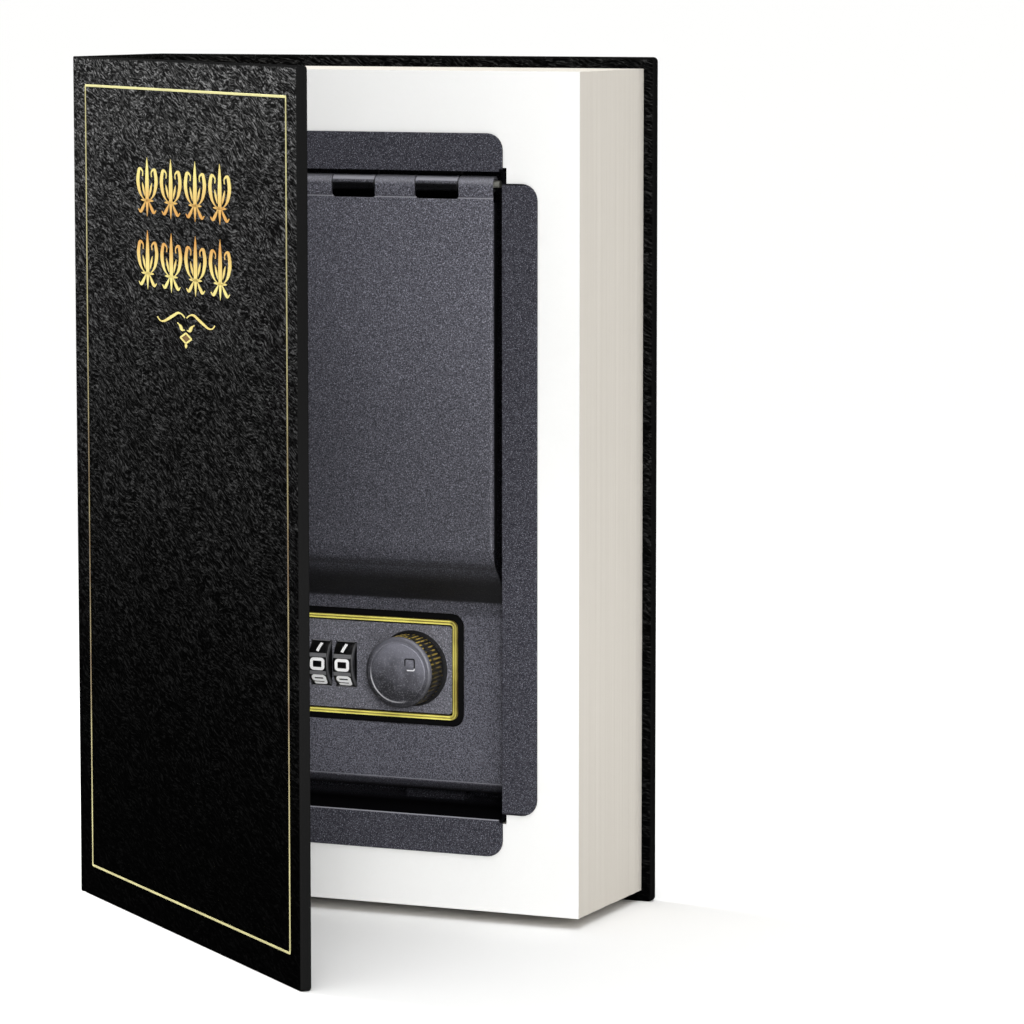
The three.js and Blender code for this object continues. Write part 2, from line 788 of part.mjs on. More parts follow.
// Dials: ten fields between ridges, each dial on a code sleeve with a notched gate disc
function dialOutline() {
  const field = (2 * Math.PI) / digitsOnDial;
  const ridge = ridgeShare * field;
  const points = [];
  for (let digit = 0; digit < digitsOnDial; digit += 1) {
    const start = (digit + 0.5) * field;
    const stops = [
      [start - ridge / 2, dialRadius],
      [start - ridge / 4, dialReach],
      [start + ridge / 4, dialReach],
      [start + ridge / 2, dialRadius],
      [start + field / 2 - ridge / 4, dialRadius],
      [start + field / 2 + ridge / 4, dialRadius],
    ];
    points.push(...stops.map(([angle, radius]) => new THREE.Vector2(
      dialY + radius * Math.cos(angle), lockZ + radius * Math.sin(angle),
    )));
  }
  return new THREE.Shape(points);
}

addPiece('dial_axle', bar('x', axleRadius, bridgeLeft, bridgeRight, [dialY, lockZ], smallSides), 'steel');
dialXs.forEach((x, i) => {
  const left = x - dialWidth / 2;
  const right = x + dialWidth / 2;
  const discRight = right + gateDiscThick;
  const across = [dialY, lockZ];
  const notchHalf = barDepth / 2 + gateNotchPlay;
  const wheel = drawnOut(dialOutline(), left, right)
    .subtract(bar('x', sleeveRadius + runningGap, left - overrun, right + overrun, across));
  const sleeve = bar('x', sleeveRadius, left, right + gateDiscThick / 2, across)
    .add(bar('x', gateDiscRadius, right, discRight, across))
    .subtract(bar('x', axleRadius + runningGap, left - overrun, discRight + overrun, across, smallSides))
    .subtract(block(
      [right, dialY - notchHalf, lockZ - gateDiscRadius - overrun],
      [discRight + overrun, dialY + notchHalf, lockZ - gateDiscRadius + gateNotchDepth],
    ));
  addPiece(`dial_${i + 1}`, wheel, 'blackPlastic');
  addPiece(`code_sleeve_${i + 1}`, sleeve, 'brass');
});

// Gate bar: its teeth point at the notches of the gate discs, and a lobe on the shaft draws it down
{
  const top = lockZ - cavityHeight / 2 + barFloorGap + barTravel + barThick;
  const tooth = (x) => block(
    [x - toothWidth / 2, dialY - barDepth / 2, top - barThick / 2],
    [x + toothWidth / 2, dialY + barDepth / 2, lockZ - gateDiscRadius - runningGap],
  );
  const discXs = dialXs.map((x) => x + dialWidth / 2 + gateDiscThick / 2);
  const strip = block(
    [discXs[0] - toothWidth, dialY - barDepth / 2, top - barThick],
    [knobX + barOverrun, dialY + barDepth / 2, top],
  );
  addPiece('gate_bar', joined([strip, ...discXs.map(tooth)]), 'steel');
}

// Detent leaf: a strip on the back plate with one sprung finger for each dial
{
  const crestY = dialY + dialReach + runningGap;
  const finger = foldedSheet([
    new THREE.Vector2(housingBack - leafThick, lockZ + leafRoot + leafThick),
    new THREE.Vector2(housingBack - leafThick, lockZ + leafRoot - leafThick),
    new THREE.Vector2(crestY, lockZ + leafCrest),
    new THREE.Vector2(crestY, lockZ - leafCrest),
    new THREE.Vector2(housingBack - leafThick, lockZ + leafTip),
  ], [leafBend, leafBend, leafBend], leafThick);
  const strip = block(
    [stackLeft, housingBack - leafThick, lockZ + leafRoot],
    [dialXs[dialCount - 1] + dialWidth / 2, housingBack, lockZ + cavityHeight / 2 - leafEdgeGap],
  );
  const fingers = dialXs.map((x) => drawnOut(finger, x - leafFingerWidth / 2, x + leafFingerWidth / 2));
  addPiece('detent_leaf', joined([strip, ...fingers]), 'steel');
}

// Knob: capped grip on a shaft that carries the cam tongue
addPiece('knob_collar', bar('y', collarRadius, collarFront, bezelFront, [knobX, lockZ], fineSides)
  .subtract(shaftBore(collarFront, bezelFront)), 'blackPlastic');
{
  const grooveOuter = knobGrooveRadius + knobGrooveWidth;
  const cap = turned([
    [0, knobFaceY + knobDish],
    [knobGrooveRadius / 2, knobFaceY + knobDishShare * knobDish],
    [knobGrooveRadius, knobFaceY],
    [knobGrooveRadius + knobGrooveWidth / 2, knobFaceY + knobGrooveDepth],
    [grooveOuter, knobFaceY],
    [knobCapRadius - knobEdge, knobFaceY],
    [knobCapRadius, knobFaceY + knobEdge],
    [knobCapRadius, gripFront],
    [0, gripFront],
  ], knobX, lockZ, fineSides);
  const mark = block(
    [knobX + knobMarkOffset - knobMarkSize / 2, knobFaceY - overrun, lockZ - knobMarkSize / 2],
    [
      knobX + knobMarkOffset + knobMarkSize / 2,
      knobFaceY + knobDish + knobMarkDepth,
      lockZ + knobMarkSize / 2,
    ],
  );
  addPiece('knob_cap', cap.subtract(mark), 'knobGrey');

  const ribPoints = Array.from({ length: 2 * gripRibs }, (_, i) => {
    const radius = gripRadius - (i % 2) * gripRibHeight;
    const angle = (i * Math.PI) / gripRibs;
    return new THREE.Vector2(knobX + radius * Math.cos(angle), lockZ + radius * Math.sin(angle));
  });
  const grip = plate(new THREE.Shape(ribPoints), gripFront, gripBack)
    .subtract(shaftBore(gripFront, gripBack));
  addPiece('knob_grip', grip, 'knobGrey');

  const lobe = block(
    [knobX - lobeLength, dialY - barDepth / 2, lockZ - lobeWidth / 2],
    [knobX, dialY + barDepth / 2, lockZ + lobeWidth / 2],
  );
  const squareFront = tongueFront - runningGap;
  const squarePart = block(
    [knobX - shaftSquare / 2, squareFront - overrun, lockZ - shaftSquare / 2],
    [knobX + shaftSquare / 2, tongueBack, lockZ + shaftSquare / 2],
  );
  const shaft = joined([
    bar('y', shaftRadius, gripFront, squareFront, [knobX, lockZ]),
    bar('y', shaftThreadRadius, squareFront, tongueBack + shaftTail, [knobX, lockZ], smallSides),
    squarePart,
    lobe,
  ]);
  addPiece('knob_shaft', shaft, 'steel');

  const arm = new THREE.Shape();
  const tipX = knobX - tongueLength + tongueWidth / 2;
  arm.moveTo(knobX, lockZ - tongueWidth / 2);
  arm.lineTo(knobX, lockZ + tongueWidth / 2);
  arm.lineTo(tipX, lockZ + tongueWidth / 2);
  arm.absarc(tipX, lockZ, tongueWidth / 2, Math.PI / 2, 1.5 * Math.PI);
  const squareHole = shaftSquare + 2 * runningGap;
  const tongue = plate(arm, tongueFront, tongueBack)
    .add(bar('y', tongueHubRadius, tongueFront, tongueBack, [knobX, lockZ]))
    .subtract(block(
      [knobX - squareHole / 2, tongueFront - overrun, lockZ - squareHole / 2],
      [knobX + squareHole / 2, tongueBack + overrun, lockZ + squareHole / 2],
    ));
  addPiece('cam_tongue', tongue, 'steel');

  const camNut = plate(hexagon(knobX, lockZ, camNutWidth), tongueBack, camNutBack)
    .subtract(bar(
      'y', shaftThreadRadius + runningGap, tongueBack - overrun, camNutBack + overrun,
      [knobX, lockZ], smallSides,
    ));
  addPiece('cam_nut', camNut, 'steel');
}

// Code reset lever, sliding up in the slot of the lock's back plate
{
  const part = (width, height, front, back) => block(
    [resetX - width / 2, front, lockZ - height / 2],
    [resetX + width / 2, back, lockZ + height / 2],
  );
  const footBack = housingBack - runningGap;
  const headFront = backPlateBack + runningGap;
  const lever = joined([
    part(resetFootWidth, resetStemHeight, footBack - resetFootThick, footBack),
    part(resetStemWidth, resetStemHeight, footBack - resetFootThick, headFront + resetHeadThick),
    part(resetHeadWidth, resetHeadHeight, headFront, headFront + resetHeadThick),
  ]);
  addPiece('reset_lever', lever, 'blackPlastic');
}

const safe = new THREE.Group();
book.position.set(-(spineOuter + foreEdge) / 2, -(pagesDepth + coverThick / 2), 0);
safe.add(book);

export default safe;
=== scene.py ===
# %% [markdown]
# # A book that hides a small safe
# The object is a large hardback whose pages are cut out round a steel box. Behind the front
# cover there is a steel lid on a rolled hinge, and in the lid a lock with three number wheels
# and a knob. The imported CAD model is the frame: every piece made here sits on one of its
# bodies, in the same coordinates, so that it moves with the right joint.

import math
from collections import namedtuple
from contextlib import contextmanager

import bmesh
import bpy
from mathutils import Matrix, Vector, noise


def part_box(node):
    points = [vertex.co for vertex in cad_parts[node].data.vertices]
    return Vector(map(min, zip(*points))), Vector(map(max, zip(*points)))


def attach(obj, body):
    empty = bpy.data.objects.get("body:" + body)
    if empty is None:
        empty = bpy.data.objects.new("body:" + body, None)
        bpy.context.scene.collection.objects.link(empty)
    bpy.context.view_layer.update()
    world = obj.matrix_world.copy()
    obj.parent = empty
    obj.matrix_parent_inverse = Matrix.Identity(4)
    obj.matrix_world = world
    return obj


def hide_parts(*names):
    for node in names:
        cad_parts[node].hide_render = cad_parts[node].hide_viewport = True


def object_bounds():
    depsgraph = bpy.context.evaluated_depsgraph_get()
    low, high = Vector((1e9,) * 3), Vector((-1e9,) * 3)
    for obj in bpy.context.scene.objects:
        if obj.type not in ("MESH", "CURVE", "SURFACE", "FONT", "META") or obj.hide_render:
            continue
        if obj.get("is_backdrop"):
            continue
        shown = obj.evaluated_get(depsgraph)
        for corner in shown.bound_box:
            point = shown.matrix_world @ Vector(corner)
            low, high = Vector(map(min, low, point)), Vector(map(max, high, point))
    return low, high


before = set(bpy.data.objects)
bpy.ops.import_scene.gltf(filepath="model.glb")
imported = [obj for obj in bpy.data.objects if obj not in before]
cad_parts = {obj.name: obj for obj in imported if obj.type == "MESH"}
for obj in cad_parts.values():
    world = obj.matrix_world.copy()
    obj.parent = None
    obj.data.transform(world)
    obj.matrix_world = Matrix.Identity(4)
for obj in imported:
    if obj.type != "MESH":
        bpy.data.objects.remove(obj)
cad_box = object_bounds()
MM = 0.001
print("size in mm:", [round((high - low) / MM, 1) for low, high in zip(*cad_box)])

# %% [markdown]
# ## Camera
# The picture was taken from some way off with a long lens, so upright edges stay almost
# parallel. A constraint could aim the camera at the book, but the match is closer with plain
# numbers: the place, turn and lens below come from matching the corners of the book.

# %% Camera
IMAGE_WIDTH = 1024
FOCAL_PIXELS = 4826
SENSOR_WIDTH = 36
CAMERA_PLACE = (0.5858, -1.2597, 0.2636)
CAMERA_TURN = 23.63
CAMERA_DIP = 6.38

camera = bpy.data.objects.new("camera", bpy.data.cameras.new("camera"))
bpy.context.scene.collection.objects.link(camera)
camera.data.sensor_width = SENSOR_WIDTH
camera.data.lens = FOCAL_PIXELS / IMAGE_WIDTH * SENSOR_WIDTH
camera.location = CAMERA_PLACE
camera.rotation_euler = (math.radians(90 - CAMERA_DIP), 0, math.radians(CAMERA_TURN))
bpy.context.scene.camera = camera
print("lens:", round(camera.data.lens, 1), "mm")

# %% [markdown]
# ## Light
# Soft studio light. Soft boxes could light all of it, but they fall off and would leave the
# white floor grey, so two wide suns light it evenly as far as the eye can see. A soft box to
# the right lifts the lower pages out of the cover's shadow, and a narrow spot does the same for
# the lock. Another soft box, close to the upper left of the cover, brings out the grain there.

# %% Light
bpy.context.scene.view_settings.view_transform = "Standard"

WORLD_STRENGTH = 0.35
world = bpy.data.worlds.new("studio")
bpy.context.scene.world = world
world.use_nodes = True
background = world.node_tree.nodes["Background"]
background.inputs["Color"].default_value = (1, 1, 1, 1)
background.inputs["Strength"].default_value = WORLD_STRENGTH


def aimed(name, kind, towards, **settings):
    """A lamp at a place, or a sun from that side, that points at a target."""
    place, target = towards
    lamp = bpy.data.objects.new(name, bpy.data.lights.new(name, kind))
    bpy.context.scene.collection.objects.link(lamp)
    lamp.location = place
    lamp.rotation_euler = (Vector(target) - Vector(place)).to_track_quat("-Z", "Y").to_euler()
    for key, value in settings.items():
        setattr(lamp.data, key, value)
    return lamp


BOOK_MIDDLE = (0, -0.05, 0.12)
aimed("sun_above", "SUN", ((0.1, -0.3, 1.1), BOOK_MIDDLE), energy=2.05, angle=math.radians(60))
aimed("sun_front", "SUN", ((0.4, -0.85, 0.57), BOOK_MIDDLE), energy=0.95, angle=math.radians(28))
aimed(
    "box_right", "AREA", ((0.34, -0.56, 0.06), (-0.02, -0.05, 0.03)),
    shape="RECTANGLE", size=0.34, size_y=0.2, energy=0.7,
)
aimed(
    "spot_lock", "SPOT", ((0.3, -0.6, 0.2), (0.006, -0.045, 0.07)),
    spot_size=math.radians(9.5), spot_blend=1.0, shadow_soft_size=0.05, energy=10.5,
)
aimed(
    "box_left", "AREA", ((-0.52, 0.02, 0.46), (-0.02, -0.09, 0.2)),
    shape="RECTANGLE", size=0.3, size_y=0.2, energy=4,
)
print("lamps:", [lamp.name for lamp in bpy.data.objects if lamp.type == "LIGHT"])

# %% [markdown]
# ## Shader arithmetic
# Nodes could be added and linked one by one, but a pattern is easier to read as a formula.
# `Wire` wraps the output of a node, and its plus, minus and times add the Math nodes. `Finish`
# is one material: any other node comes from its `node` method, and `place` gives the point on
# the piece in millimetres, turned with the front cover where the piece is on it.

# %% Wire and Finish


class Wire:
    """An output of a node, used like a number."""

    def __init__(self, finish, socket):
        self.finish = finish
        self.socket = socket

    def math(self, operation, *values):
        return self.finish.node(
            "ShaderNodeMath", {"operation": operation}, dict(enumerate(values)),
        )

    def __add__(self, other):
        return self.math("ADD", self, other)

    def __sub__(self, other):
        return self.math("SUBTRACT", self, other)

    def __rsub__(self, other):
        return self.math("SUBTRACT", other, self)

    def __mul__(self, other):
        return self.math("MULTIPLY", self, other)

    def __pow__(self, other):
        return self.math("POWER", self, other)

    def __abs__(self):
        return self.math("ABSOLUTE", self)

    __radd__ = __add__
    __rmul__ = __mul__

    def rising(self, low, high):
        """0 below low, 1 above high, and a smooth step between."""
        return self.finish.node(
            "ShaderNodeMapRange",
            {"interpolation_type": "SMOOTHSTEP"},
            {"Value": self, "From Min": low, "From Max": high},
        )


Place = namedtuple("Place", "x y z")


class Finish:
    """A material on the Principled shader."""

    def __init__(self, name, origin=(0, 0, 0), turn=0):
        self.material = bpy.data.materials.new(name)
        self.material.use_nodes = True
        self.tree = self.material.node_tree
        self.shader = self.tree.nodes["Principled BSDF"]
        self.place = self.node(
            "ShaderNodeMapping",
            {"vector_type": "TEXTURE"},
            {
                "Vector": self.node("ShaderNodeTexCoord", output="Object"),
                "Location": Vector(origin) * MM,
                "Rotation": (0, 0, turn),
                "Scale": (MM, MM, MM),
            },
        )

    def node(self, kind, settings=None, sockets=None, output=0):
        """A node with its settings, then the values or links of its sockets."""
        made = self.tree.nodes.new(kind)
        for key, value in (settings or {}).items():
            setattr(made, key, value)
        self.set(made, sockets or {})
        return Wire(self, made.outputs[output])

    def set(self, made, sockets):
        for key, value in sockets.items():
            if isinstance(value, Wire):
                self.tree.links.new(value.socket, made.inputs[key])
            else:
                made.inputs[key].default_value = value

    def axes(self):
        """The x, y and z of the point on the piece."""
        split = self.node("ShaderNodeSeparateXYZ", {}, {0: self.place}).socket.node
        return Place(*[Wire(self, output) for output in split.outputs])

    def stretched(self, factors, point=None):
        """The point with each axis multiplied, so that a pattern is squeezed or drawn out."""
        return self.node(
            "ShaderNodeVectorMath", {"operation": "MULTIPLY"}, {0: point or self.place, 1: factors},
        )

    def noise(self, size, detail=2.0, point=None, output=0):
        """Cloudy noise with features of about this size in millimetres."""
        return self.node(
            "ShaderNodeTexNoise", {},
            {"Vector": point or self.place, "Scale": 1 / size, "Detail": detail}, output,
        )

    def mixed(self, share, low, high):
        """Two colours, or coloured wires, mixed."""
        return self.node(
            "ShaderNodeMix", {"data_type": "RGBA"}, {0: share, 6: low, 7: high}, output=2,
        )

    def relief(self, height, depth):
        """A bump of this depth in millimetres."""
        return self.node(
            "ShaderNodeBump", {}, {"Strength": 1.0, "Distance": depth * MM, "Height": height},
        )

    def looks(self, color, roughness, normal=None, **sockets):
        """Feed the shader. Other sockets are given by name, with _ for a space."""
        self.set(self.shader, {"Base Color": color, "Roughness": roughness})
        if normal:
            self.set(self.shader, {"Normal": normal})
        self.set(self.shader, {key.replace("_", " "): value for key, value in sockets.items()})
        return self.material


def paint(code):
    """A colour written as on screen, in the light values that the shader takes."""
    channels = [int(code[i:i + 2], 16) / 255 for i in (0, 2, 4)]
    return (*[c / 12.92 if c <= 0.04045 else ((c + 0.055) / 1.055) ** 2.4 for c in channels], 1)


# %% [markdown]
# ## Floor
# A plain pale floor that reaches past everything the camera sees. A bent backdrop would put an
# edge behind the book from some sides, a flat floor doesn't. It isn't part of the object.

# %% Floor
FLOOR_SIZE = 400
bpy.ops.object.select_all(action="DESELECT")
bpy.ops.mesh.primitive_plane_add(size=FLOOR_SIZE)
floor = bpy.context.object
floor.name = "floor"
floor_finish = Finish("floor_paint")
floor.data.materials.append(floor_finish.looks(paint("f6f6f5"), 0.9, IOR=1.2))
floor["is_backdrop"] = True
print("floor:", FLOOR_SIZE, "m across")

# %% [markdown]
# ## Leatherette
# The cover cloth is a coated paper that is embossed to look like grained leather: slanting
# threads over a finer grain, with dark furrows between them. Voronoi cells would give round
# pebbles. Noises that are drawn out along the slope give threads, and bent coordinates keep
# these from running straight. A thread lies where the long noise is near its middle value, and
# a furrow where the wide one is. The crests are painted pale and the creases dark, a painted
# highlight and painted shade of the grain, and the pale of the crests is a painted sheen that
# is strongest at the head and fades towards the foot of the book. Over the outer edges of the
# board the cloth is pulled flat.

# %% Leatherette finish
BOOK_HEIGHT = 240
THREAD_SIZE = (7.0, 1.1, 1.1)
GRAIN_SIZE = (2.0, 0.52, 0.52)
FURROW_SIZE = (12.0, 2.2, 2.2)
THREAD_SLOPE = math.radians(-16)
WANDERS = ((18.0, 7.0), (2.4, 1.1))
THREAD_VALUE, THREAD_REACH = 0.51, 0.08
FURROW_VALUE, FURROW_REACH = 0.5, 0.04
PULLED_FROM, PULLED_TO = 0.8, 0.3
EMBOSSED = 0.3


def grain_of_leather(finish):
    """How high the grain stands, from 0 in a furrow to about 1 on a crest."""
    leaning = finish.node(
        "ShaderNodeMapping", {}, {"Vector": finish.place, "Rotation": (0, THREAD_SLOPE, 0)},
    )
    bent = leaning
    for size, reach in WANDERS:
        shift = finish.noise(size, 1.0, leaning, "Color")
        bent = finish.node(
            "ShaderNodeVectorMath", {"operation": "MULTIPLY_ADD"},
            {0: shift, 1: [reach] * 3, 2: bent},
        )
    long, fine, wide = (
        finish.noise(1.0, 2.0, finish.stretched([1 / side for side in size], bent))
        for size in (THREAD_SIZE, GRAIN_SIZE, FURROW_SIZE)
    )
    thread = 1 - abs(long - THREAD_VALUE).rising(0.0, THREAD_REACH)
    crests = thread * (0.2 + fine.rising(0.43, 0.6) * 0.65) + fine.rising(0.46, 0.66) * 0.2
    return crests * (0.1 + abs(wide - FURROW_VALUE).rising(0.0, FURROW_REACH) * 1.05)


def leatherette(name, fore_edge, light, falloff, edge_tone, **place):
    """fore_edge is the x of the board's edge, light and falloff say how strong the painted sheen on
    the crests is and how fast it fades towards the foot.
    """
    finish = Finish(name, **place)
    crests = grain_of_leather(finish)
    at = finish.axes()
    flat = at.x.rising(fore_edge - PULLED_FROM, fore_edge - PULLED_TO)
    top = at.z.rising(BOOK_HEIGHT - PULLED_FROM, BOOK_HEIGHT - PULLED_TO)
    flat = flat.math("MAXIMUM", flat, top)
    height = crests * (0.3 + at.z.rising(40, BOOK_HEIGHT - 20) * 0.7) * (1 - flat)
    # Painted sheen: the crests are paler towards the head of the book, as lit from above, and vary
    # in patches.
    patches = finish.noise(45.0, 2.0)
    painted_sheen = (at.z * (1 / BOOK_HEIGHT)) ** falloff * (0.6 + patches * 0.8) * light
    # The pale crests and dark creases are painted highlight and painted shade of the grain.
    crest_tone = finish.mixed(painted_sheen, paint("090909"), paint("808080"))
    crease_tone = finish.mixed(painted_sheen, paint("020202"), paint("121212"))
    tone = finish.mixed(flat, finish.mixed(crests, crease_tone, crest_tone), paint(edge_tone))
    return finish.looks(
        tone, 0.5 - crests * 0.12, finish.relief(height, EMBOSSED), Specular_IOR_Level=0,
    )


# %% Leatherette of the book and of its open cover
COVER_OPENING = math.radians(40)
fold_low, fold_high = (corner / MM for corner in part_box("cover_fold"))
FOLD_AXIS = Vector(((fold_low.x + fold_high.x) / 2, (fold_low.y + fold_high.y) / 2, 0))
on_cover = {"origin": FOLD_AXIS, "turn": -COVER_OPENING}
COVER_REACH = 156.1
book_leatherette = leatherette("leatherette_book", cad_box[1].x / MM, 0.16, 0.6, "101010")
cover_leatherette = leatherette("leatherette_cover", COVER_REACH, 1.0, 2.9, "181818", **on_cover)
print("fold axis at", [round(c, 2) for c in FOLD_AXIS])

# %% [markdown]
# ## Paper
# The fore-edge of a book is hundreds of sheet edges: thin lines that run along the block, with
# a slow drift of tone where bundles of pages lie. A wave texture gives lines too, but all of
# one width. A noise that is squeezed hard across the sheets and drawn out along them gives
# uneven ones, and a slower one gives the drift. The white flyleaf has only a faint tooth.

# %% Paper finishes
SHEETS = (0.012, 5.5, 0.012)
BUNDLES = (0.004, 0.45, 0.004)


def edges_of_pages():
    finish = Finish("page_edges")
    sheets = finish.noise(1.0, 3.0, finish.stretched(SHEETS))
    bundles = finish.noise(1.0, 1.0, finish.stretched(BUNDLES))
    tooth = finish.noise(0.3, 2.0)
    share = sheets.rising(0.3, 0.7) * 0.6 + bundles * 0.4
    tone = finish.mixed(share, paint("cbc5bc"), paint("d6d1c8"))
    return finish.looks(tone, 0.9, finish.relief(sheets + tooth * 0.3, 0.08), IOR=1.3)


def plain_paper(name, light, dark):
    finish = Finish(name)
    tooth = finish.noise(0.5, 4.0)
    clouds = finish.noise(14.0, 2.0)
    tone = finish.mixed(tooth * 0.5 + clouds * 0.5, paint(dark), paint(light))
    return finish.looks(tone, 0.85, finish.relief(tooth, 0.02), IOR=1.3)


page_edges = edges_of_pages()
flyleaf_paper = plain_paper("flyleaf_paper", "f8f8f7", "f3f3f1")
back_endpaper_paper = plain_paper("back_endpaper_paper", "ece9e1", "e2dfd6")
black_endpaper = plain_paper("black_endpaper", "1a1a1c", "121214")
pulp_board = plain_paper("pulp_board", "93897a", "7c7468")
print("papers:", page_edges.name, flyleaf_paper.name, black_endpaper.name, pulp_board.name)

# %% [markdown]
# ## Powder coat
# The steel is sprayed with a fine textured powder: bluish charcoal with a dense, tiny speckle
# that glints. One noise could drive both tone and glints, but then each glint would sit on a
# bump. Two noises of a few tenths of a millimetre keep the orange peel and the specks apart.
# On the inner sides and in the deep folds, where shade falls, the coat is painted dark, a painted
# shade, and along some folds a bright line is painted, a painted highlight.

# %% Powder coat finish


def powder_coat(name, light, dark, painted_shade_share=None, painted_highlight_share=None, roughness=0.52, glint=0.65, **sockets):
    """The first function after the colours gives how far the coat is painted dark as painted shade,
    the second how far it is painted pale as a painted highlight; both take the place on the piece.
    """
    finish = Finish(name)
    peel = finish.noise(0.42, 3.0)
    speck = finish.noise(0.3, 2.0)
    cloud = finish.noise(25.0, 2.0)
    glints = speck.rising(0.56, 0.68)
    tone = finish.mixed(peel.rising(0.36, 0.64) * 0.85 + cloud * 0.15, paint(dark), paint(light))
    tone = finish.mixed(glints * glint, tone, paint("b8b8c6"))
    # Painted shade in hollows and behind folds, then painted highlights along folds.
    if painted_shade_share:
        tone = finish.mixed(painted_shade_share(finish.axes()), tone, paint("0a0a0c"))
    if painted_highlight_share:
        tone = finish.mixed(painted_highlight_share(finish.axes()), tone, paint("9a9aa2"))
    return finish.looks(tone, roughness - glints * 0.2, finish.relief(peel, 0.07), **sockets)


bezel_paint = powder_coat("powder_coat_bezel", "77777f", "4c4c52", Metallic=0.15, IOR=1.4)
print("powder coat:", bezel_paint.name)

# %% [markdown]
# ## Metals and plastics
# Gold foil on the cover goes from pale yellow to orange. On the line round the cover the tone is
# painted light: palest at the top, then the foot, and dull in the shaded lower middle. On the
# flowers it is orange between the two rows. A ramp over the height could paint that, but a
# share that rises and falls at named heights is easier to move. The lock's frame is polished:
# its edges are painted pale as a painted highlight, and its groove and right side dark as
# painted shade. The wheels and the lock's case are black moulded plastic, which always has a
# slightly uneven skin.

# %% Gold finishes
GILT_MIDDLE = 195.3


def gold(name, pale, deep, roughness, share=None, metallic=0.75, **place):
    """share takes the place and gives how pale the gold is; without one it is cloudy."""
    finish = Finish(name, **place)
    cloud = finish.noise(9.0, 2.0).rising(0.35, 0.65)
    scuff = finish.noise(0.5, 3.0)
    paleness = share(finish.axes()) * 0.8 + cloud * 0.2 if share else cloud
    tone = finish.mixed(paleness, paint(deep), paint(pale))
    return finish.looks(
        tone, roughness + scuff * 0.15, finish.relief(scuff, 0.01), Metallic=metallic,
    )


def painted_light_near_the_ends(at):
    """Painted highlight and shade: palest along the top of the cover, then the foot, and dull in
    the lower middle.
    """
    lower_middle = (1 - at.z.rising(110, 220)) * at.z.rising(20, 70)
    top_line = at.z.rising(230, 232)
    foot_line = 1 - at.z.rising(9.4, 10.4)
    return top_line * 0.5 + foot_line * 0.15 + (1 - lower_middle) * 0.65


def away_from_the_middle(at):
    """Orange between the two rows of flowers, pale above and below."""
    return abs(at.z - GILT_MIDDLE).rising(1.0, 15.0)


border_gold = gold("gold_foil_border", "d8d294", "604a28", 0.32, painted_light_near_the_ends, **on_cover)
foil_gold = gold("gold_foil_ornament", "f6e88c", "dc922a", 0.28, away_from_the_middle, **on_cover)
deep_gold = gold("gold_foil_heart", "74541a", "4a3410", 0.4, **on_cover)
print("foils:", border_gold.name, foil_gold.name, deep_gold.name)

# %% Other metals, plastics and paints


def moulded(name, light, dark, roughness, **sockets):
    finish = Finish(name)
    skin = finish.noise(0.35, 3.0)
    cloud = finish.noise(8.0, 2.0)
    tone = finish.mixed(skin * 0.5 + cloud * 0.5, paint(dark), paint(light))
    return finish.looks(tone, roughness + cloud * 0.12, finish.relief(skin, 0.02), **sockets)


def machined(name, light, dark, roughness, grain, metallic=1.0):
    """Bare metal with fine lines along the axis where grain is small."""
    finish = Finish(name)
    lines = finish.noise(0.25, 3.0, finish.stretched(grain))
    tone = finish.mixed(lines, paint(dark), paint(light))
    return finish.looks(
        tone, roughness + lines * 0.12, finish.relief(lines, 0.01), Metallic=metallic,
    )


case_plastic = moulded("case_plastic", "0b0b0d", "050506", 0.5, Specular_IOR_Level=0.1)
collar_plastic = moulded("collar_plastic", "1d1d1f", "101012", 0.3)
digit_paint = moulded("digit_paint", "ffffff", "f6f6f5", 0.4)
zinc_steel = machined("zinc_steel", "b9bbbf", "8d9094", 0.3, (0.1, 1, 1))
turned_brass = machined("turned_brass", "dcb765", "b58e3c", 0.25, (1, 0.1, 0.1))
pin_steel = machined("pin_steel", "c4c4ba", "8a8a82", 0.3, (0.05, 1, 1), 0.7)
print("plastics and metals:", case_plastic.name, zinc_steel.name, turned_brass.name)

# %% [markdown]
# ## Modelling helpers
# A mesh could be listed point by point, but nobody could follow or change such a list. So each
# piece starts as a primitive at its size and place, and is then shaped in edit mode as by hand.
# Faces and edges are selected in code by where they are and which way they look, in
# millimetres. A finished piece keeps its place in its mesh, with the object at the origin.

# %% Selecting and editing


def only(piece):
    """Select this object alone."""
    bpy.ops.object.select_all(action="DESELECT")
    piece.select_set(True)
    bpy.context.view_layer.objects.active = piece
    return piece


@contextmanager
def editing(piece):
    """Edit mode on one piece for the lines inside the with."""
    only(piece)
    bpy.ops.object.mode_set(mode="EDIT")
    yield
    bpy.ops.object.mode_set(mode="OBJECT")


def pick(piece, kind, where):
    """Select the verts, edges or faces where the test on middle and direction holds."""
    bpy.ops.mesh.select_mode(type=kind)
    bpy.ops.mesh.select_all(action="DESELECT")
    mesh = bmesh.from_edit_mesh(piece.data)
    if kind == "FACE":
        rows = [(face, face.calc_center_median(), face.normal) for face in mesh.faces]
    elif kind == "EDGE":
        ends = [(edge, *[vert.co for vert in edge.verts]) for edge in mesh.edges]
        rows = [(edge, (start + end) / 2, end - start) for edge, start, end in ends]
    else:
        rows = [(vert, vert.co, vert.normal) for vert in mesh.verts]
    found = [row[0] for row in rows if where(row[1] / MM, row[2].normalized())]
    for element in found:
        element.select_set(True)
    mesh.select_flush_mode()
    bmesh.update_edit_mesh(piece.data)
    return len(found)


def close(a, b, gap=0.05):
    return abs(a - b) < gap


def extruded(x, y, z):
    bpy.ops.mesh.extrude_region_move(TRANSFORM_OT_translate={"value": (x * MM, y * MM, z * MM)})


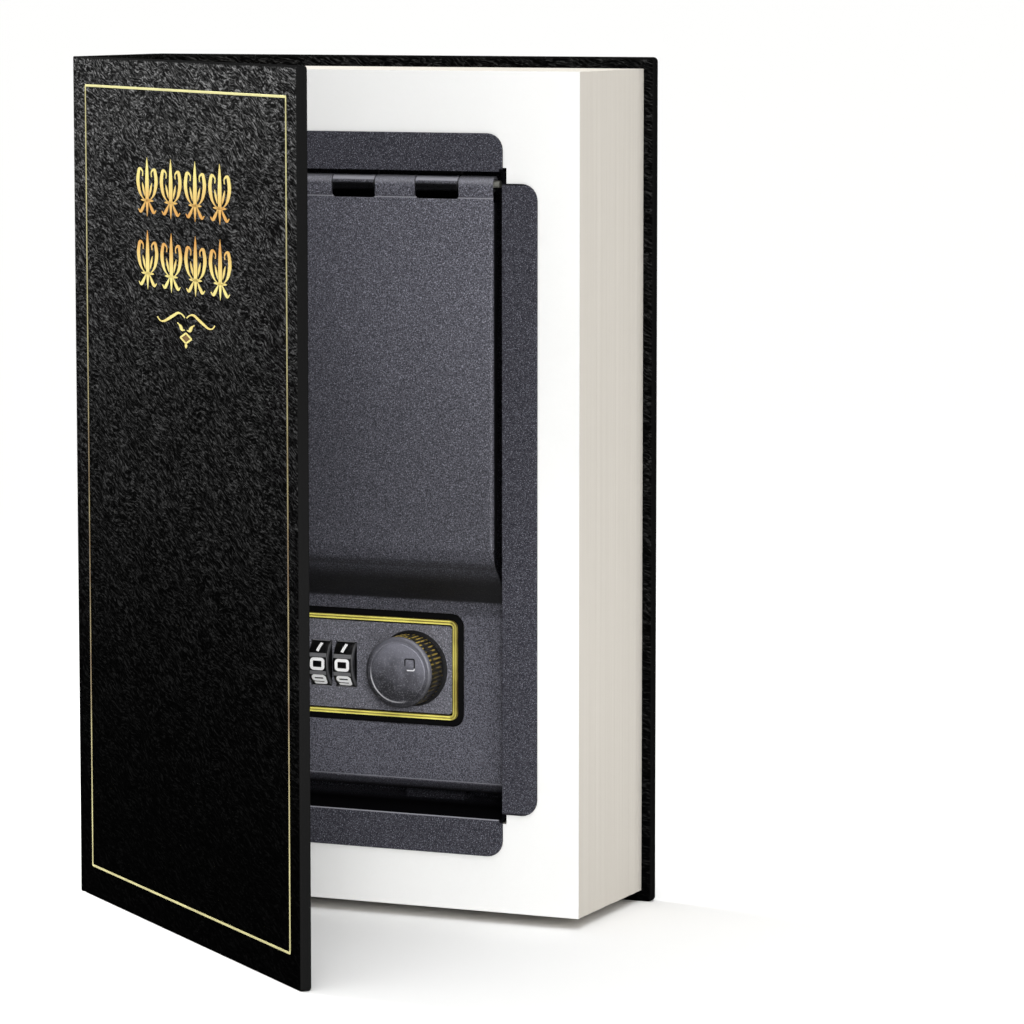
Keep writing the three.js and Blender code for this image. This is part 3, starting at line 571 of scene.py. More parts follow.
def sliced(piece, point, normal):
    """Cut all faces along a plane, without taking anything away."""
    bpy.ops.mesh.select_all(action="SELECT")
    bpy.ops.mesh.bisect(plane_co=Vector(point) * MM, plane_no=normal)


# %% Starting and finishing a piece


def started(name):
    """Name the primitive that was just added, and put its place in its mesh."""
    piece = bpy.context.object
    piece.name = name
    piece.data.name = name
    bpy.ops.object.transform_apply(location=True, rotation=True, scale=True)
    return piece


def block(name, low, high):
    """A box between two corners."""
    low, high = Vector(low) * MM, Vector(high) * MM
    bpy.ops.object.select_all(action="DESELECT")
    bpy.ops.mesh.primitive_cube_add(size=1, location=(low + high) / 2)
    bpy.context.object.scale = high - low
    return started(name)


def rod(name, middle, radius, length, axis, sides=48):
    turns = {"x": (0, math.pi / 2, 0), "y": (math.pi / 2, 0, 0), "z": (0, 0, 0)}
    bpy.ops.object.select_all(action="DESELECT")
    bpy.ops.mesh.primitive_cylinder_add(
        vertices=sides, radius=radius * MM, depth=length * MM,
        location=Vector(middle) * MM, rotation=turns[axis],
    )
    return started(name)


def panel(name, x, y, z, radius=0, steps=6):
    """A flat face across y, from x[0] to x[1] and z[0] to z[1], that looks towards -y."""
    bpy.ops.object.select_all(action="DESELECT")
    middle = Vector((sum(x) / 2, y, sum(z) / 2)) * MM
    bpy.ops.mesh.primitive_plane_add(size=1, location=middle, rotation=(math.pi / 2, 0, 0))
    bpy.context.object.scale = ((x[1] - x[0]) * MM, (z[1] - z[0]) * MM, 1)
    piece = started(name)
    if radius:
        with editing(piece):
            bpy.ops.mesh.select_all(action="SELECT")
            bpy.ops.mesh.bevel(offset=radius * MM, segments=steps, affect="VERTICES")
    return piece


def modified(piece, kind, **settings):
    """Add a modifier and apply it."""
    only(piece)
    modifier = piece.modifiers.new(kind.lower(), kind)
    for key, value in settings.items():
        setattr(modifier, key, value)
    bpy.ops.object.modifier_apply(modifier=modifier.name)
    return piece


def outward(piece):
    """Merge doubled points and turn all faces outwards."""
    with editing(piece):
        bpy.ops.mesh.select_all(action="SELECT")
        bpy.ops.mesh.remove_doubles(threshold=0.002 * MM)
        bpy.ops.mesh.normals_make_consistent(inside=False)
        if bmesh.from_edit_mesh(piece.data).calc_volume(signed=True) < 0:
            bpy.ops.mesh.flip_normals()
    return piece


def softened(piece, width, segments=3, angle=35):
    """Round every edge that turns more than the angle, as a tool or a fold leaves it."""
    only(piece)
    bpy.ops.object.shade_smooth()
    return modified(
        piece, "BEVEL", width=width * MM, segments=segments, limit_method="ANGLE",
        angle_limit=math.radians(angle), use_clamp_overlap=False, harden_normals=True,
    )


def evenly_shaded(piece, angle=35):
    """Smooth shading that leaves large flat faces flat."""
    only(piece)
    bpy.ops.object.shade_smooth_by_angle(angle=math.radians(angle))
    return modified(piece, "WEIGHTED_NORMAL", mode="FACE_AREA", weight=100, keep_sharp=True)


def cut(piece, cutter):
    """Take the cutter's shape out of the piece."""
    modified(piece, "BOOLEAN", object=cutter, operation="DIFFERENCE", solver="EXACT")
    bpy.data.objects.remove(cutter)
    return piece


def joined(name, pieces):
    bpy.ops.object.select_all(action="DESELECT")
    for piece in pieces:
        piece.select_set(True)
    bpy.context.view_layer.objects.active = pieces[0]
    bpy.ops.object.join()
    pieces[0].name = name
    return pieces[0]


def copied(piece, name, shift):
    """A copy with its own mesh, moved by a number of millimetres."""
    twin = piece.copy()
    twin.data = piece.data.copy()
    twin.name = name
    twin.data.transform(Matrix.Translation(Vector(shift) * MM))
    bpy.context.scene.collection.objects.link(twin)
    return twin


def fitted(piece, body, slot, finish, *nodes):
    """Give a finished piece its material, its body and the CAD nodes that it stands for."""
    piece.data.materials.clear()
    piece.data.materials.append(finish)
    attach(piece, body)
    if nodes:
        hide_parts(*nodes)
    print(f"{piece.name}: {len(piece.data.polygons)} faces on {body}")
    return piece


def cad(node):
    """The corners of a CAD node in millimetres."""
    return [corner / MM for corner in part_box(node)]


# %% [markdown]
# ## Covers and spine
# A case cover is pulp board with leatherette glued round it and turned in over the inner side,
# where an endpaper covers the middle. One bevel all round would make the corners as sharp as
# the edges. So each starts as a block, its corners are rounded where the cloth is folded over
# them, and a smaller bevel rounds the edges as cloth does. A second block cuts the step inside
# the turned-in margin. At the joint the cloth of spine and front cover reaches a little closer
# to the roll than the solids do, which leave it room, so that no light shows between them.

# %% Covers and spine
TURN_IN = 12
PAPER_STEP = 0.4
CORNER_RADIUS = 1.2
CLOTH_RADIUS = 0.45


def cloth_over_board(name, low, high, inner):
    """A covered board. inner is the direction its paper side looks, as a unit vector."""
    piece = block(name, low, high)
    inner = Vector(inner)
    with editing(piece):
        pick(piece, "EDGE", lambda middle, along: abs(along.dot(inner)) > 0.9)
        bpy.ops.mesh.bevel(offset=CORNER_RADIUS * MM, segments=4)
        pick(piece, "FACE", lambda middle, normal: abs(normal.dot(inner)) > 0.9)
        bpy.ops.mesh.region_to_loop()
        bpy.ops.mesh.bevel(offset=CLOTH_RADIUS * MM, segments=4)
    thickness = abs((Vector(high) - Vector(low)).dot(inner))
    margin = Vector([TURN_IN * (1 - abs(side)) for side in inner])
    shift = inner * (thickness - PAPER_STEP)
    cut(piece, block("paper_step", Vector(low) + margin + shift, Vector(high) - margin + shift))
    return evenly_shaded(piece)


def onto_cover(piece):
    """From the front cover's own coordinates to where it stands open."""
    only(piece)
    opened = Matrix.Rotation(-COVER_OPENING, 4, "Z")
    piece.matrix_world = Matrix.Translation(FOLD_AXIS * MM) @ opened
    bpy.ops.object.transform_apply(location=True, rotation=True)
    return piece


# %% Back cover, spine and front cover
COVER_START = 1.75
COVER_FACE = 1.5
INTO_JOINT = 0.2

back_low, back_high = cad("back_cover_wrap")
back_cover = cloth_over_board("back_cover_cloth", back_low, back_high, (0, -1, 0))
fitted(back_cover, "book", "leatherette", book_leatherette, "back_cover_wrap")

spine_low, spine_high = cad("spine_wrap")
spine = cloth_over_board(
    "spine_cloth", spine_low - Vector((0, INTO_JOINT, 0)), spine_high, (1, 0, 0),
)
fitted(spine, "book", "leatherette", book_leatherette, "spine_wrap")

front_cover = onto_cover(cloth_over_board(
    "front_cover_cloth", (COVER_START - INTO_JOINT, -COVER_FACE, 0),
    (COVER_REACH, COVER_FACE, BOOK_HEIGHT), (0, 1, 0),
))
fitted(front_cover, "front_cover", "leatherette", cover_leatherette, "front_cover_wrap")

# %% [markdown]
# ## Joint of the cover
# Between spine and cover the cloth runs through a round groove. A strip that bends would need a
# new shape at every opening. The CAD turns a roll about its own middle instead, so a turned bar
# with rounded ends looks the same at every opening. It is a hair thicker than the solid, to
# touch the cloth at both sides.

# %% Joint of the cover
ROLL_BULGE = 0.15
fold_radius = (fold_high.x - fold_low.x) / 2 + ROLL_BULGE
fold = rod(
    "cover_joint_roll", (FOLD_AXIS.x, FOLD_AXIS.y, BOOK_HEIGHT / 2),
    fold_radius, BOOK_HEIGHT, "z", 40,
)
with editing(fold):
    pick(fold, "FACE", lambda middle, normal: abs(normal.z) > 0.9)
    bpy.ops.mesh.inset(thickness=0.4 * MM)
softened(fold, 0.3)
fitted(fold, "cover_joint", "leatherette", cover_leatherette, "cover_fold")

# %% [markdown]
# ## Pages
# The block of pages is many thin sheets. A plane for each would be thousands of faces that no
# picture shows. Instead the block is cut into slices across its thickness, and each slice
# stands a hair further out or in than the next, as bundles of pages do. That gives the faint
# upright bands of the fore-edge in the shape itself. Then the middle is cut out.

# %% Slices of the page block
BUNDLE = 1.15
PAGE_PLAY, MIDDLE_PLAY = 0.07, 0.4
BUNDLE_STRIDE, SIDE_STRIDE = 0.83, 7.3


def page_block(name, low, high, seed):
    """A block in slices. The seed says where in the noise its uneven edges are read."""
    piece = block(name, low, high)
    thickness = high.y - low.y
    count = round(thickness / BUNDLE)
    with editing(piece):
        for i in range(1, count):
            sliced(piece, (0, low.y + thickness * i / count, 0), (0, 1, 0))
        mesh = bmesh.from_edit_mesh(piece.data)
        for vert in mesh.verts:
            step = round((vert.co.y / MM - low.y) / thickness * count)
            for axis, edge, side in ((0, high.x, 1), (2, high.z, 1), (2, low.z, -1)):
                if close(vert.co[axis] / MM, edge, 0.3):
                    at = Vector((step * BUNDLE_STRIDE, seed + axis * SIDE_STRIDE + side, 0.5))
                    vert.co[axis] += side * (noise.noise(at) - MIDDLE_PLAY) * PAGE_PLAY * MM
        bmesh.update_edit_mesh(piece.data)
    return piece


# %% Cut and whole pages
TAB_WIDTH = 10.5
TRAY_ROOM = 1.1
HOLE_OVERRUN = 5
cut_low, cut_high = cad("cut_pages")
whole_low, whole_high = cad("whole_pages")
tray_low, tray_high = cad("safe_tray")
tabs = Vector((TAB_WIDTH, 0, TAB_WIDTH))
inner_low, inner_high = tray_low + tabs, tray_high - tabs
room = Vector((TRAY_ROOM, 0, TRAY_ROOM))

cut_pages = page_block("pages_round_the_safe", cut_low, cut_high, 1.7)
hole_low = inner_low - room - Vector((0, HOLE_OVERRUN, 0))
hole_high = inner_high + room
hole_high.y = cut_high.y + HOLE_OVERRUN
cut(cut_pages, block("hole", hole_low, hole_high))
fitted(cut_pages, "book", "pages", page_edges, "cut_pages")

whole_pages = page_block("pages_behind", whole_low, whole_high, 9.1)
fitted(whole_pages, "book", "pages", page_edges, "whole_pages")

# %% [markdown]
# ## Steel tray
# The tray is one folded sheet: a pan whose rim is bent outwards into four fixing tabs. A frame
# laid on a box would show a seam where the real sheet is bent. So the pan starts as a block
# without its front face, its rim edges are extruded into tabs, the tabs' corners are rounded in
# the flat, and a thickness is given last. The upper and lower tabs start behind the bends of
# the pan's corners, and are drawn out again to a little past them, as the real ones are.

# %% Pan of the tray
STEEL = 0.8
BEND = 0.9
SIDE_TAB_TOP = 3.2
SIDE_TAB_BOTTOM = 1.6
tab_front = tray_low.y
pan_back = tray_high.y - STEEL
side_tab = (inner_low.z + SIDE_TAB_BOTTOM, inner_high.z - SIDE_TAB_TOP)

tray = block(
    "steel_tray", (inner_low.x, tab_front, inner_low.z), (inner_high.x, pan_back, inner_high.z),
)
with editing(tray):
    pick(tray, "FACE", lambda middle, normal: normal.y < -0.9)
    bpy.ops.mesh.delete(type="ONLY_FACE")
    pick(tray, "EDGE", lambda middle, along: middle.y > tab_front + 1)
    bpy.ops.mesh.bevel(offset=BEND * MM, segments=3)
    for z in side_tab:
        sliced(tray, (0, 0, z), (0, 0, 1))
print("pan:", [round(c / MM, 2) for c in tray.dimensions])

# %% Tabs of the tray
TAB_RADIUS = 4.6
TAB_OVERHANG = 1.0
RIM_SIDES = (
    (0, inner_low.x, -1), (0, inner_high.x, 1), (2, inner_low.z, -1), (2, inner_high.z, 1),
)
with editing(tray):
    for axis, edge, side in RIM_SIDES:
        def on_rim(middle, along):
            in_line = close(middle[axis], edge) and close(middle.y, tab_front)
            in_tab = axis == 2 or side_tab[0] < middle.z < side_tab[1]
            return in_line and in_tab and abs(along.y) < 0.1
        pick(tray, "EDGE", on_rim)
        reach = [0, 0, 0]
        reach[axis] = side * TAB_WIDTH
        extruded(*reach)
    for edge, side in ((inner_low.x + BEND, -1), (inner_high.x - BEND, 1)):
        def on_tab_end(middle, along):
            beyond = not inner_low.z < middle.z < inner_high.z
            return beyond and close(middle.x, edge) and abs(along.z) > 0.9
        pick(tray, "EDGE", on_tab_end)
        extruded(side * TAB_OVERHANG, 0, 0)
        pick(tray, "EDGE", on_tab_end)
        bpy.ops.mesh.dissolve_edges()
    pick(tray, "VERT", lambda point, normal: any(
        close(point[axis], corner[axis]) for axis in (0, 2) for corner in (tray_low, tray_high)
    ))
    bpy.ops.mesh.bevel(offset=TAB_RADIUS * MM, segments=6, affect="VERTICES")
    bpy.ops.mesh.select_all(action="SELECT")
    bpy.ops.mesh.flip_normals()
modified(tray, "SOLIDIFY", thickness=STEEL * MM, offset=-1, use_even_offset=True)
softened(tray, 0.26, 3, 40)
print("tray:", [round(c / MM, 2) for c in tray.dimensions])

# %% [markdown]
# ## Fixed knuckles
# The pan also carries the fixed knuckles of the hinge. Each is a strip of steel whose end is
# rolled round the pin. A pipe on a plate would close the curl, which stays open on a real one.
# A small block whose lower face is spun about the hinge line keeps it open. One is modelled,
# and the others are copies.

# %% Fixed knuckles
KNUCKLE_RADIUS = 2.2
KNUCKLE_LENGTH = 12.7
KNUCKLE_PITCH = 2 * KNUCKLE_LENGTH
FIRST_KNUCKLE = 17
KNUCKLES = 3
ROLL = math.radians(285)
pin_low, pin_high = cad("hinge_pin")
lid_low, lid_high = cad("lid_plate")
hinge_y, hinge_z = (pin_low.y + pin_high.y) / 2, (pin_low.z + pin_high.z) / 2
knuckle_xs = [lid_high.x - FIRST_KNUCKLE - i * KNUCKLE_PITCH for i in range(KNUCKLES)]


def rolled(piece, where):
    """Spin the picked end face of a sheet about the hinge line."""
    with editing(piece):
        pick(piece, "FACE", where)
        bpy.ops.mesh.spin(
            steps=20, angle=ROLL, center=(0, hinge_y * MM, hinge_z * MM), axis=(1, 0, 0),
        )
    return outward(piece)


leaf_back = hinge_y + KNUCKLE_RADIUS
first_knuckle = block(
    "knuckle",
    (knuckle_xs[0] - KNUCKLE_LENGTH / 2, leaf_back - STEEL, hinge_z),
    (knuckle_xs[0] + KNUCKLE_LENGTH / 2, leaf_back, inner_high.z + STEEL / 2),
)
rolled(first_knuckle, lambda middle, normal: normal.z < -0.9)
softened(first_knuckle, 0.12, 2, 40)
others = [
    copied(first_knuckle, f"knuckle_{i}", (x - knuckle_xs[0], 0, 0))
    for i, x in enumerate(knuckle_xs[1:])
]
knuckles = joined("tray_knuckles", [first_knuckle, *others])


# %% Coat of the knuckles


def painted_shade_on_curl(at):
    """Painted shade on the under side and the back of the curl."""
    below = 1 - at.z.rising(hinge_z - 0.3, hinge_z + 0.5)
    return below.math("MAXIMUM", below, at.y.rising(hinge_y - 1.0, hinge_y - 0.2))


def painted_highlight_on_curl(at):
    """A painted highlight: a bright line along the upper front of the curl."""
    front = 1 - at.y.rising(hinge_y - 1.0, hinge_y - 0.4)
    return (1 - abs(at.z - (hinge_z + 1.35)).rising(0.3, 0.75)) * front


knuckle_paint = powder_coat(
    "powder_coat_knuckles", "55555b", "303035", painted_shade_on_curl, painted_highlight_on_curl, 0.34, IOR=1.4,
)
fitted(knuckles, "book", "powder_coat", knuckle_paint)

# %% Coat of the tray
pan_middle = (inner_low.x + inner_high.x) / 2
pan_half = (inner_high.x - inner_low.x) / 2


def painted_shade_in_tray(at):
    """Painted shade on the inner sides down to the floor, and in the gaps beside the side tabs."""
    front, deep = at.y.rising(tab_front + 0.2, tab_front + 0.6), tab_front + 18
    inside = front * (1 - at.y.rising(deep, pan_back - 1) * 0.85)
    above = at.z.rising(side_tab[1] - 0.8, side_tab[1])
    above = above * (1 - at.z.rising(inner_high.z + 0.6, inner_high.z + 0.9))
    below = 1 - at.z.rising(side_tab[0], side_tab[0] + 0.8)
    below = below * at.z.rising(inner_low.z - 0.9, inner_low.z - 0.6)
    beside = abs(at.x - pan_middle).rising(pan_half - 1.0, pan_half - 0.6)
    return inside.math("MAXIMUM", inside, (above + below) * beside)


def painted_highlight_on_lower_fold(at):
    """A painted highlight along the bend between the floor of the pan and the lower tab."""
    between = 1 - abs(at.x - pan_middle).rising(pan_half - 1.2, pan_half - 0.8)
    at_front = 1 - at.y.rising(tab_front + 0.25, tab_front + 0.4)
    return (1 - abs(at.z - inner_low.z).rising(0.05, 0.4)) * at_front * between


tray_paint = powder_coat(
    "powder_coat_tray", "44444b", "2a2a30", painted_shade_in_tray, painted_highlight_on_lower_fold, 0.7, 0.38,
    Specular_IOR_Level=0,
)
fitted(tray, "book", "powder_coat", tray_paint, "safe_tray")

# %% [markdown]
# ## Steel lid
# The lid is a second folded sheet. Joined plates would need their bends fitted one by one. A
# sheet that is extruded edge by edge has them where it turns. It starts as the flat upper
# panel. The lower edge is extruded into the step, the lock's field and the lip, the side edges
# into short returns, and the folds get their bends. Then the sheet gets its thickness, its top
# is rolled round the pin, and the notches for the fixed knuckles and the lock's window are cut.

# %% Measures of the lid
LID_BEHIND_ROLL = 0.3
STEP_HEIGHT, STEP_DEPTH, STEP_BEND = 13, 10.3, 3
LIP_DEPTH, LIP_DROP, LIP_BEND = 6, 3.5, 1
RETURN_DEPTH, RETURN_TOP, RETURN_BEND = 3.2, 5.2, 1.1
NOTCH_PLAY, NOTCH_DROP = 0.3, 2
SEAM = 3.3
WINDOW_SURROUND = 1.9
WINDOW_RADIUS = 3.5
trim_low, trim_high = cad("lock_trim")
lock_x, lock_z = (trim_low.x + trim_high.x) / 2, (trim_low.z + trim_high.z) / 2
surround = Vector([WINDOW_SURROUND] * 3)
window_low, window_high = trim_low - surround, trim_high + surround
lid_front = lid_low.y + LID_BEHIND_ROLL
field_front = lid_front + STEP_DEPTH
field_bottom = lid_low.z + LIP_DROP
field_top = window_high.z + 4
step_top = field_top + STEP_HEIGHT
print("step of the lid from", round(field_top, 1), "to", round(step_top, 1))

# %% Sheet of the lid
SEAM_WIDTH = 0.5
lid = panel("steel_lid", (lid_low.x, lid_high.x), lid_front, (step_top, hinge_z))
with editing(lid):
    seam = hinge_z - SEAM
    for z in (step_top + STEP_BEND, hinge_z - RETURN_TOP, seam - SEAM_WIDTH, seam):
        sliced(lid, (0, 0, z), (0, 0, 1))
    pick(lid, "EDGE", lambda middle, along: close(middle.z, step_top) and abs(along.x) > 0.9)
    extruded(0, STEP_DEPTH, -STEP_HEIGHT)
    extruded(0, 0, field_bottom - field_top)
    extruded(0, LIP_DEPTH, -LIP_DROP)
    for y, z, bend in (
        (lid_front, step_top, STEP_BEND), (field_front, field_top, STEP_BEND),
        (field_front, field_bottom, LIP_BEND),
    ):
        def on_fold(middle, along):
            return close(middle.z, z) and close(middle.y, y) and abs(along.x) > 0.9
        pick(lid, "EDGE", on_fold)
        bpy.ops.mesh.bevel(offset=bend * MM, segments=6)

    def on_side(middle, along):
        flat = close(middle.y, lid_front) and abs(along.z) > 0.9
        outer = min(abs(middle.x - lid_low.x), abs(middle.x - lid_high.x)) < 0.05
        return flat and outer and step_top + STEP_BEND - 0.1 < middle.z < hinge_z - RETURN_TOP
    pick(lid, "EDGE", on_side)
    extruded(0, RETURN_DEPTH, 0)
    pick(lid, "EDGE", on_side)
    bpy.ops.mesh.bevel(offset=RETURN_BEND * MM, segments=3)
    pick(lid, "VERT", lambda point, normal: point.z > seam - 0.1)
    bpy.ops.transform.translate(value=(0, -LID_BEHIND_ROLL * MM, 0))
modified(lid, "SOLIDIFY", thickness=STEEL * MM, offset=-1, use_even_offset=True)
rolled(lid, lambda middle, normal: normal.z > 0.9 and close(middle.z, hinge_z))
print("lid:", [round(c / MM, 2) for c in lid.dimensions])

# %% Notches of the lid
for x in knuckle_xs:
    half = KNUCKLE_LENGTH / 2 + NOTCH_PLAY
    notch = block(
        "notch",
        (x - half, lid_low.y - 3, hinge_z - KNUCKLE_RADIUS - NOTCH_DROP),
        (x + half, hinge_y + 4, hinge_z + 4),
    )
    with editing(notch):
        pick(notch, "EDGE", lambda middle, along: middle.z < hinge_z - 3 and abs(along.y) > 0.9)
        bpy.ops.mesh.bevel(offset=0.9 * MM, segments=4)
    cut(lid, notch)
print("notches at", [round(x, 1) for x in knuckle_xs])

# %% Window of the lid


def tablet(name, x, z, front, back, radius, steps=6):
    """A rounded plate between two depths."""
    piece = panel(name, x, front, z, radius, steps)
    with editing(piece):
        bpy.ops.mesh.select_all(action="SELECT")
        extruded(0, back - front, 0)
    return outward(piece)


cut(lid, tablet(
    "window", (window_low.x, window_high.x), (window_low.z, window_high.z),
    field_front - 2, field_front + 3, WINDOW_RADIUS,
))
with editing(lid):
    def on_window(middle, along):
        inside = all(
            window_low[axis] - 0.1 < middle[axis] < window_high[axis] + 0.1 for axis in (0, 2)
        )
        return inside and close(middle.y, field_front)
    pick(lid, "EDGE", on_window)
    bpy.ops.mesh.bevel(offset=0.5 * MM, segments=4)
softened(lid, 0.22, 3, 40)
print("window:", [round(c, 1) for c in window_high - window_low])

# %% Studs for the lock
STUD_RADIUS, STUD_LENGTH, STUD_BEHIND, STUD_BESIDE = 1.5, 5, 2.9, 2.8
stud_reach = (window_high.x - window_low.x) / 2 + STUD_BESIDE
studs = [
    rod(
        "stud", (lock_x + side * stud_reach, field_front + STUD_BEHIND, lock_z),
        STUD_RADIUS, STUD_LENGTH, "y", 24,
    )
    for side in (-1, 1)
]
for stud in studs:
    softened(stud, 0.25, 2)
lid = joined("steel_lid", [lid, *studs])
print("lid with studs:", [round(c / MM, 2) for c in lid.dimensions])

# %% Coat of the lid


def painted_shade_on_lid(at):
    """Painted shade: dark behind the sheet and on the step, and darker than elsewhere just above
    both folds.
    """
    up_step = at.z.rising(field_top, step_top)
    behind = (at.y - (field_front - up_step * STEP_DEPTH)).rising(0.5, 1.2)
    on_lip = 1 - at.z.rising(field_bottom - 0.3, field_bottom)
    lip_edge = 1 - at.z.rising(field_bottom - 3.4, field_bottom - 1.4)
    behind = behind * (1 - on_lip * (1 - lip_edge))
    step = at.z.rising(field_top - 0.9, field_top + 0.2)
    step = step * (1 - at.z.rising(step_top - 8, step_top + 1.5))
    above_step = (1 - at.z.rising(step_top, hinge_z - 20)) * up_step
    above_lock = at.z.rising(window_high.z - 1.5, window_high.z + 1)
    above_lock = above_lock * (1 - at.z.rising(field_top, field_top + 1))
    shade = (above_step + above_lock) * 0.4
    return behind.math("MAXIMUM", behind, step * 0.96 + shade * (1 - step))


def painted_highlights_on_lid(at):
    """Painted highlights: bright lines along the lip and the seam, and a paler top of the roll."""
    lip = at.z.rising(field_bottom + 0.05, field_bottom + 0.3)
    lip = lip * (1 - at.z.rising(field_bottom + 0.35, field_bottom + 0.6))
    seam_line = 1 - abs(at.z - (seam - 0.6)).rising(0.1, 0.24)
    roll = at.z.rising(hinge_z - 0.6, hinge_z + 0.7) * 0.45
    front = 1 - at.y.rising(field_front + 0.5, field_front + 1)
    return (lip * 0.9 + seam_line * 0.9 + roll) * front


lid_paint = powder_coat(
    "powder_coat_lid", "6a6a74", "313138", painted_shade_on_lid, painted_highlights_on_lid, Metallic=0.15, IOR=1.4,
)
fitted(lid, "lid", "powder_coat", lid_paint, "lid_plate")

# %% [markdown]
# ## Frame and face of the lock
# The gold frame has two bright edges with a dull groove between them. A swept profile would do
# that too, but its corners are hard to keep even. Here a rounded plate is inset ring by ring,
# and the second and fourth rings slope down to the groove and up again. The face plate inside
# it has a slanted window for each wheel, cut with a block whose back is taller than its front.

# %% Frame of the lock
FRAME_RINGS = ((0.36, 0), (0.07, -0.15), (0.3, 0), (0.07, 0.15), (0.36, 0))
FRAME_CORNER = 2
frame_of_lock = panel(
    "lock_frame", (trim_low.x, trim_high.x), trim_low.y, (trim_low.z, trim_high.z), FRAME_CORNER,
)
with editing(frame_of_lock):
    bpy.ops.mesh.select_all(action="SELECT")
    for width, depth in FRAME_RINGS:
        bpy.ops.mesh.inset(thickness=width * MM, depth=depth * MM)
    bpy.ops.mesh.delete(type="FACE")
modified(frame_of_lock, "SOLIDIFY", thickness=(trim_high.y - trim_low.y) * MM * 0.7, offset=-1)
outward(frame_of_lock)
softened(frame_of_lock, 0.05, 2, 40)


def painted_light_on_frame(at):
    """Painted highlight on the two edges, less so at the right, and painted shade in the groove."""
    right = at.x.rising(trim_high.x - 2.2, trim_high.x - 1.5)
    return (1 - at.y.rising(trim_low.y + 0.06, trim_low.y + 0.18)) * (1 - right * 0.6)


# The pale yellow without metal in it is a painted highlight of the polished frame.
trim_gold = gold("gold_frame", "fff580", "5e4a14", 0.3, painted_light_on_frame, metallic=0.0)
fitted(frame_of_lock, "lid", "gold_trim", trim_gold, "lock_trim")

# %% Face of the lock
bezel_low, bezel_high = cad("lock_bezel")
dial_boxes = [cad(f"dial_{i + 1}") for i in range(3)]
wheel_y = sum(corner.y for corner in dial_boxes[0]) / 2
WHEEL_ROOM = 0.3
WINDOW_FRONT, WINDOW_BACK, WINDOW_CORNER = 5.87, 7.53, 0.7
face = tablet(
    "lock_face", (bezel_low.x, bezel_high.x), (bezel_low.z, bezel_high.z),
    bezel_low.y, bezel_high.y, 1, 4,
)
for low, high in dial_boxes:
    opening = block(
        "opening",
        (low.x - WHEEL_ROOM, bezel_low.y - 1, lock_z - WINDOW_BACK),
        (high.x + WHEEL_ROOM, bezel_high.y + 1, lock_z + WINDOW_BACK),
    )
    with editing(opening):
        pick(opening, "FACE", lambda middle, normal: normal.y < -0.9)
        bpy.ops.transform.resize(
            value=(1, 1, WINDOW_FRONT / WINDOW_BACK),
            center_override=Vector((0, bezel_low.y - 1, lock_z)) * MM,
        )
        pick(opening, "EDGE", lambda middle, along: abs(along.y) > 0.9)
        bpy.ops.mesh.bevel(offset=WINDOW_CORNER * MM, segments=3)
    cut(face, opening)

SHAFT_BORE = 4.3
cap_low, cap_high = cad("knob_cap")
knob_x = (cap_low.x + cap_high.x) / 2
cut(face, rod("bore", (knob_x, bezel_low.y, lock_z), SHAFT_BORE, 10, "y"))
softened(face, 0.18, 2, 40)
fitted(face, "lid", "powder_coat", bezel_paint, "lock_bezel")

# %% [markdown]
# ## Number wheels
# Each wheel is a drum with ten fields. The drum is a cylinder whose ends are inset and bridged
# for the bore. Between the fields two thin ridges stand up for the finger: the side faces there
# are extruded and pushed outwards. A font would give the numbers its own shapes, and these are
# plainer: strokes of one width with rounded corners. They are laid flat as strips and then
# wrapped round the drum, white as printed. One wheel is modelled and copied twice.

# %% Drum of a wheel
DIGITS = 10
WHEEL_RADIUS = 8
RIDGE_HEIGHT = 0.35
BORE_RADIUS = 3.5
SIDES_PER_DIGIT = 18
FIELD = 2 * math.pi / DIGITS
RIM_BEVEL = 0.3
RIDGE_FROM, RIDGE_TO = 0.4, 1.6
wheel_low, wheel_high = dial_boxes[0]
wheel_x = (wheel_low.x + wheel_high.x) / 2
wheel_centre = Vector((wheel_x, wheel_y, lock_z))


def scaled_across(factor):
    bpy.ops.transform.resize(value=(1, factor, factor), center_override=wheel_centre * MM)


drum = rod(
    "wheel_1", wheel_centre, WHEEL_RADIUS, wheel_high.x - wheel_low.x, "x",
    SIDES_PER_DIGIT * DIGITS,
)
with editing(drum):
    pick(drum, "FACE", lambda middle, normal: abs(normal.x) > 0.9)
    bpy.ops.mesh.inset(thickness=(WHEEL_RADIUS - BORE_RADIUS) * MM)
    bpy.ops.mesh.bridge_edge_loops()

    def on_rim_of_drum(middle, along):
        at_end = close(middle.x, wheel_low.x) or close(middle.x, wheel_high.x)
        outside = (middle - wheel_centre).length > WHEEL_RADIUS - 0.5
        return at_end and outside and abs(along.x) < 0.1
    pick(drum, "EDGE", on_rim_of_drum)
    bpy.ops.mesh.bevel(offset=RIM_BEVEL * MM, segments=2)

    def on_ridge(middle, normal):
        if abs(normal.x) > 0.1 or (middle - wheel_centre).length < WHEEL_RADIUS - 1:
            return False
        turn = math.atan2(middle.z - wheel_centre.z, wheel_centre.y - middle.y) / FIELD
        from_ridge = abs((turn % 1) - 0.5) * SIDES_PER_DIGIT
        return RIDGE_FROM < from_ridge < RIDGE_TO
    pick(drum, "FACE", on_ridge)
    bpy.ops.mesh.extrude_region_move()
    scaled_across(1 + RIDGE_HEIGHT / WHEEL_RADIUS)
outward(drum)
softened(drum, 0.1, 2, 40)
print("drum:", len(drum.data.polygons), "faces,", RIDGE_HEIGHT, "mm ridges")

# %% Rounded paths


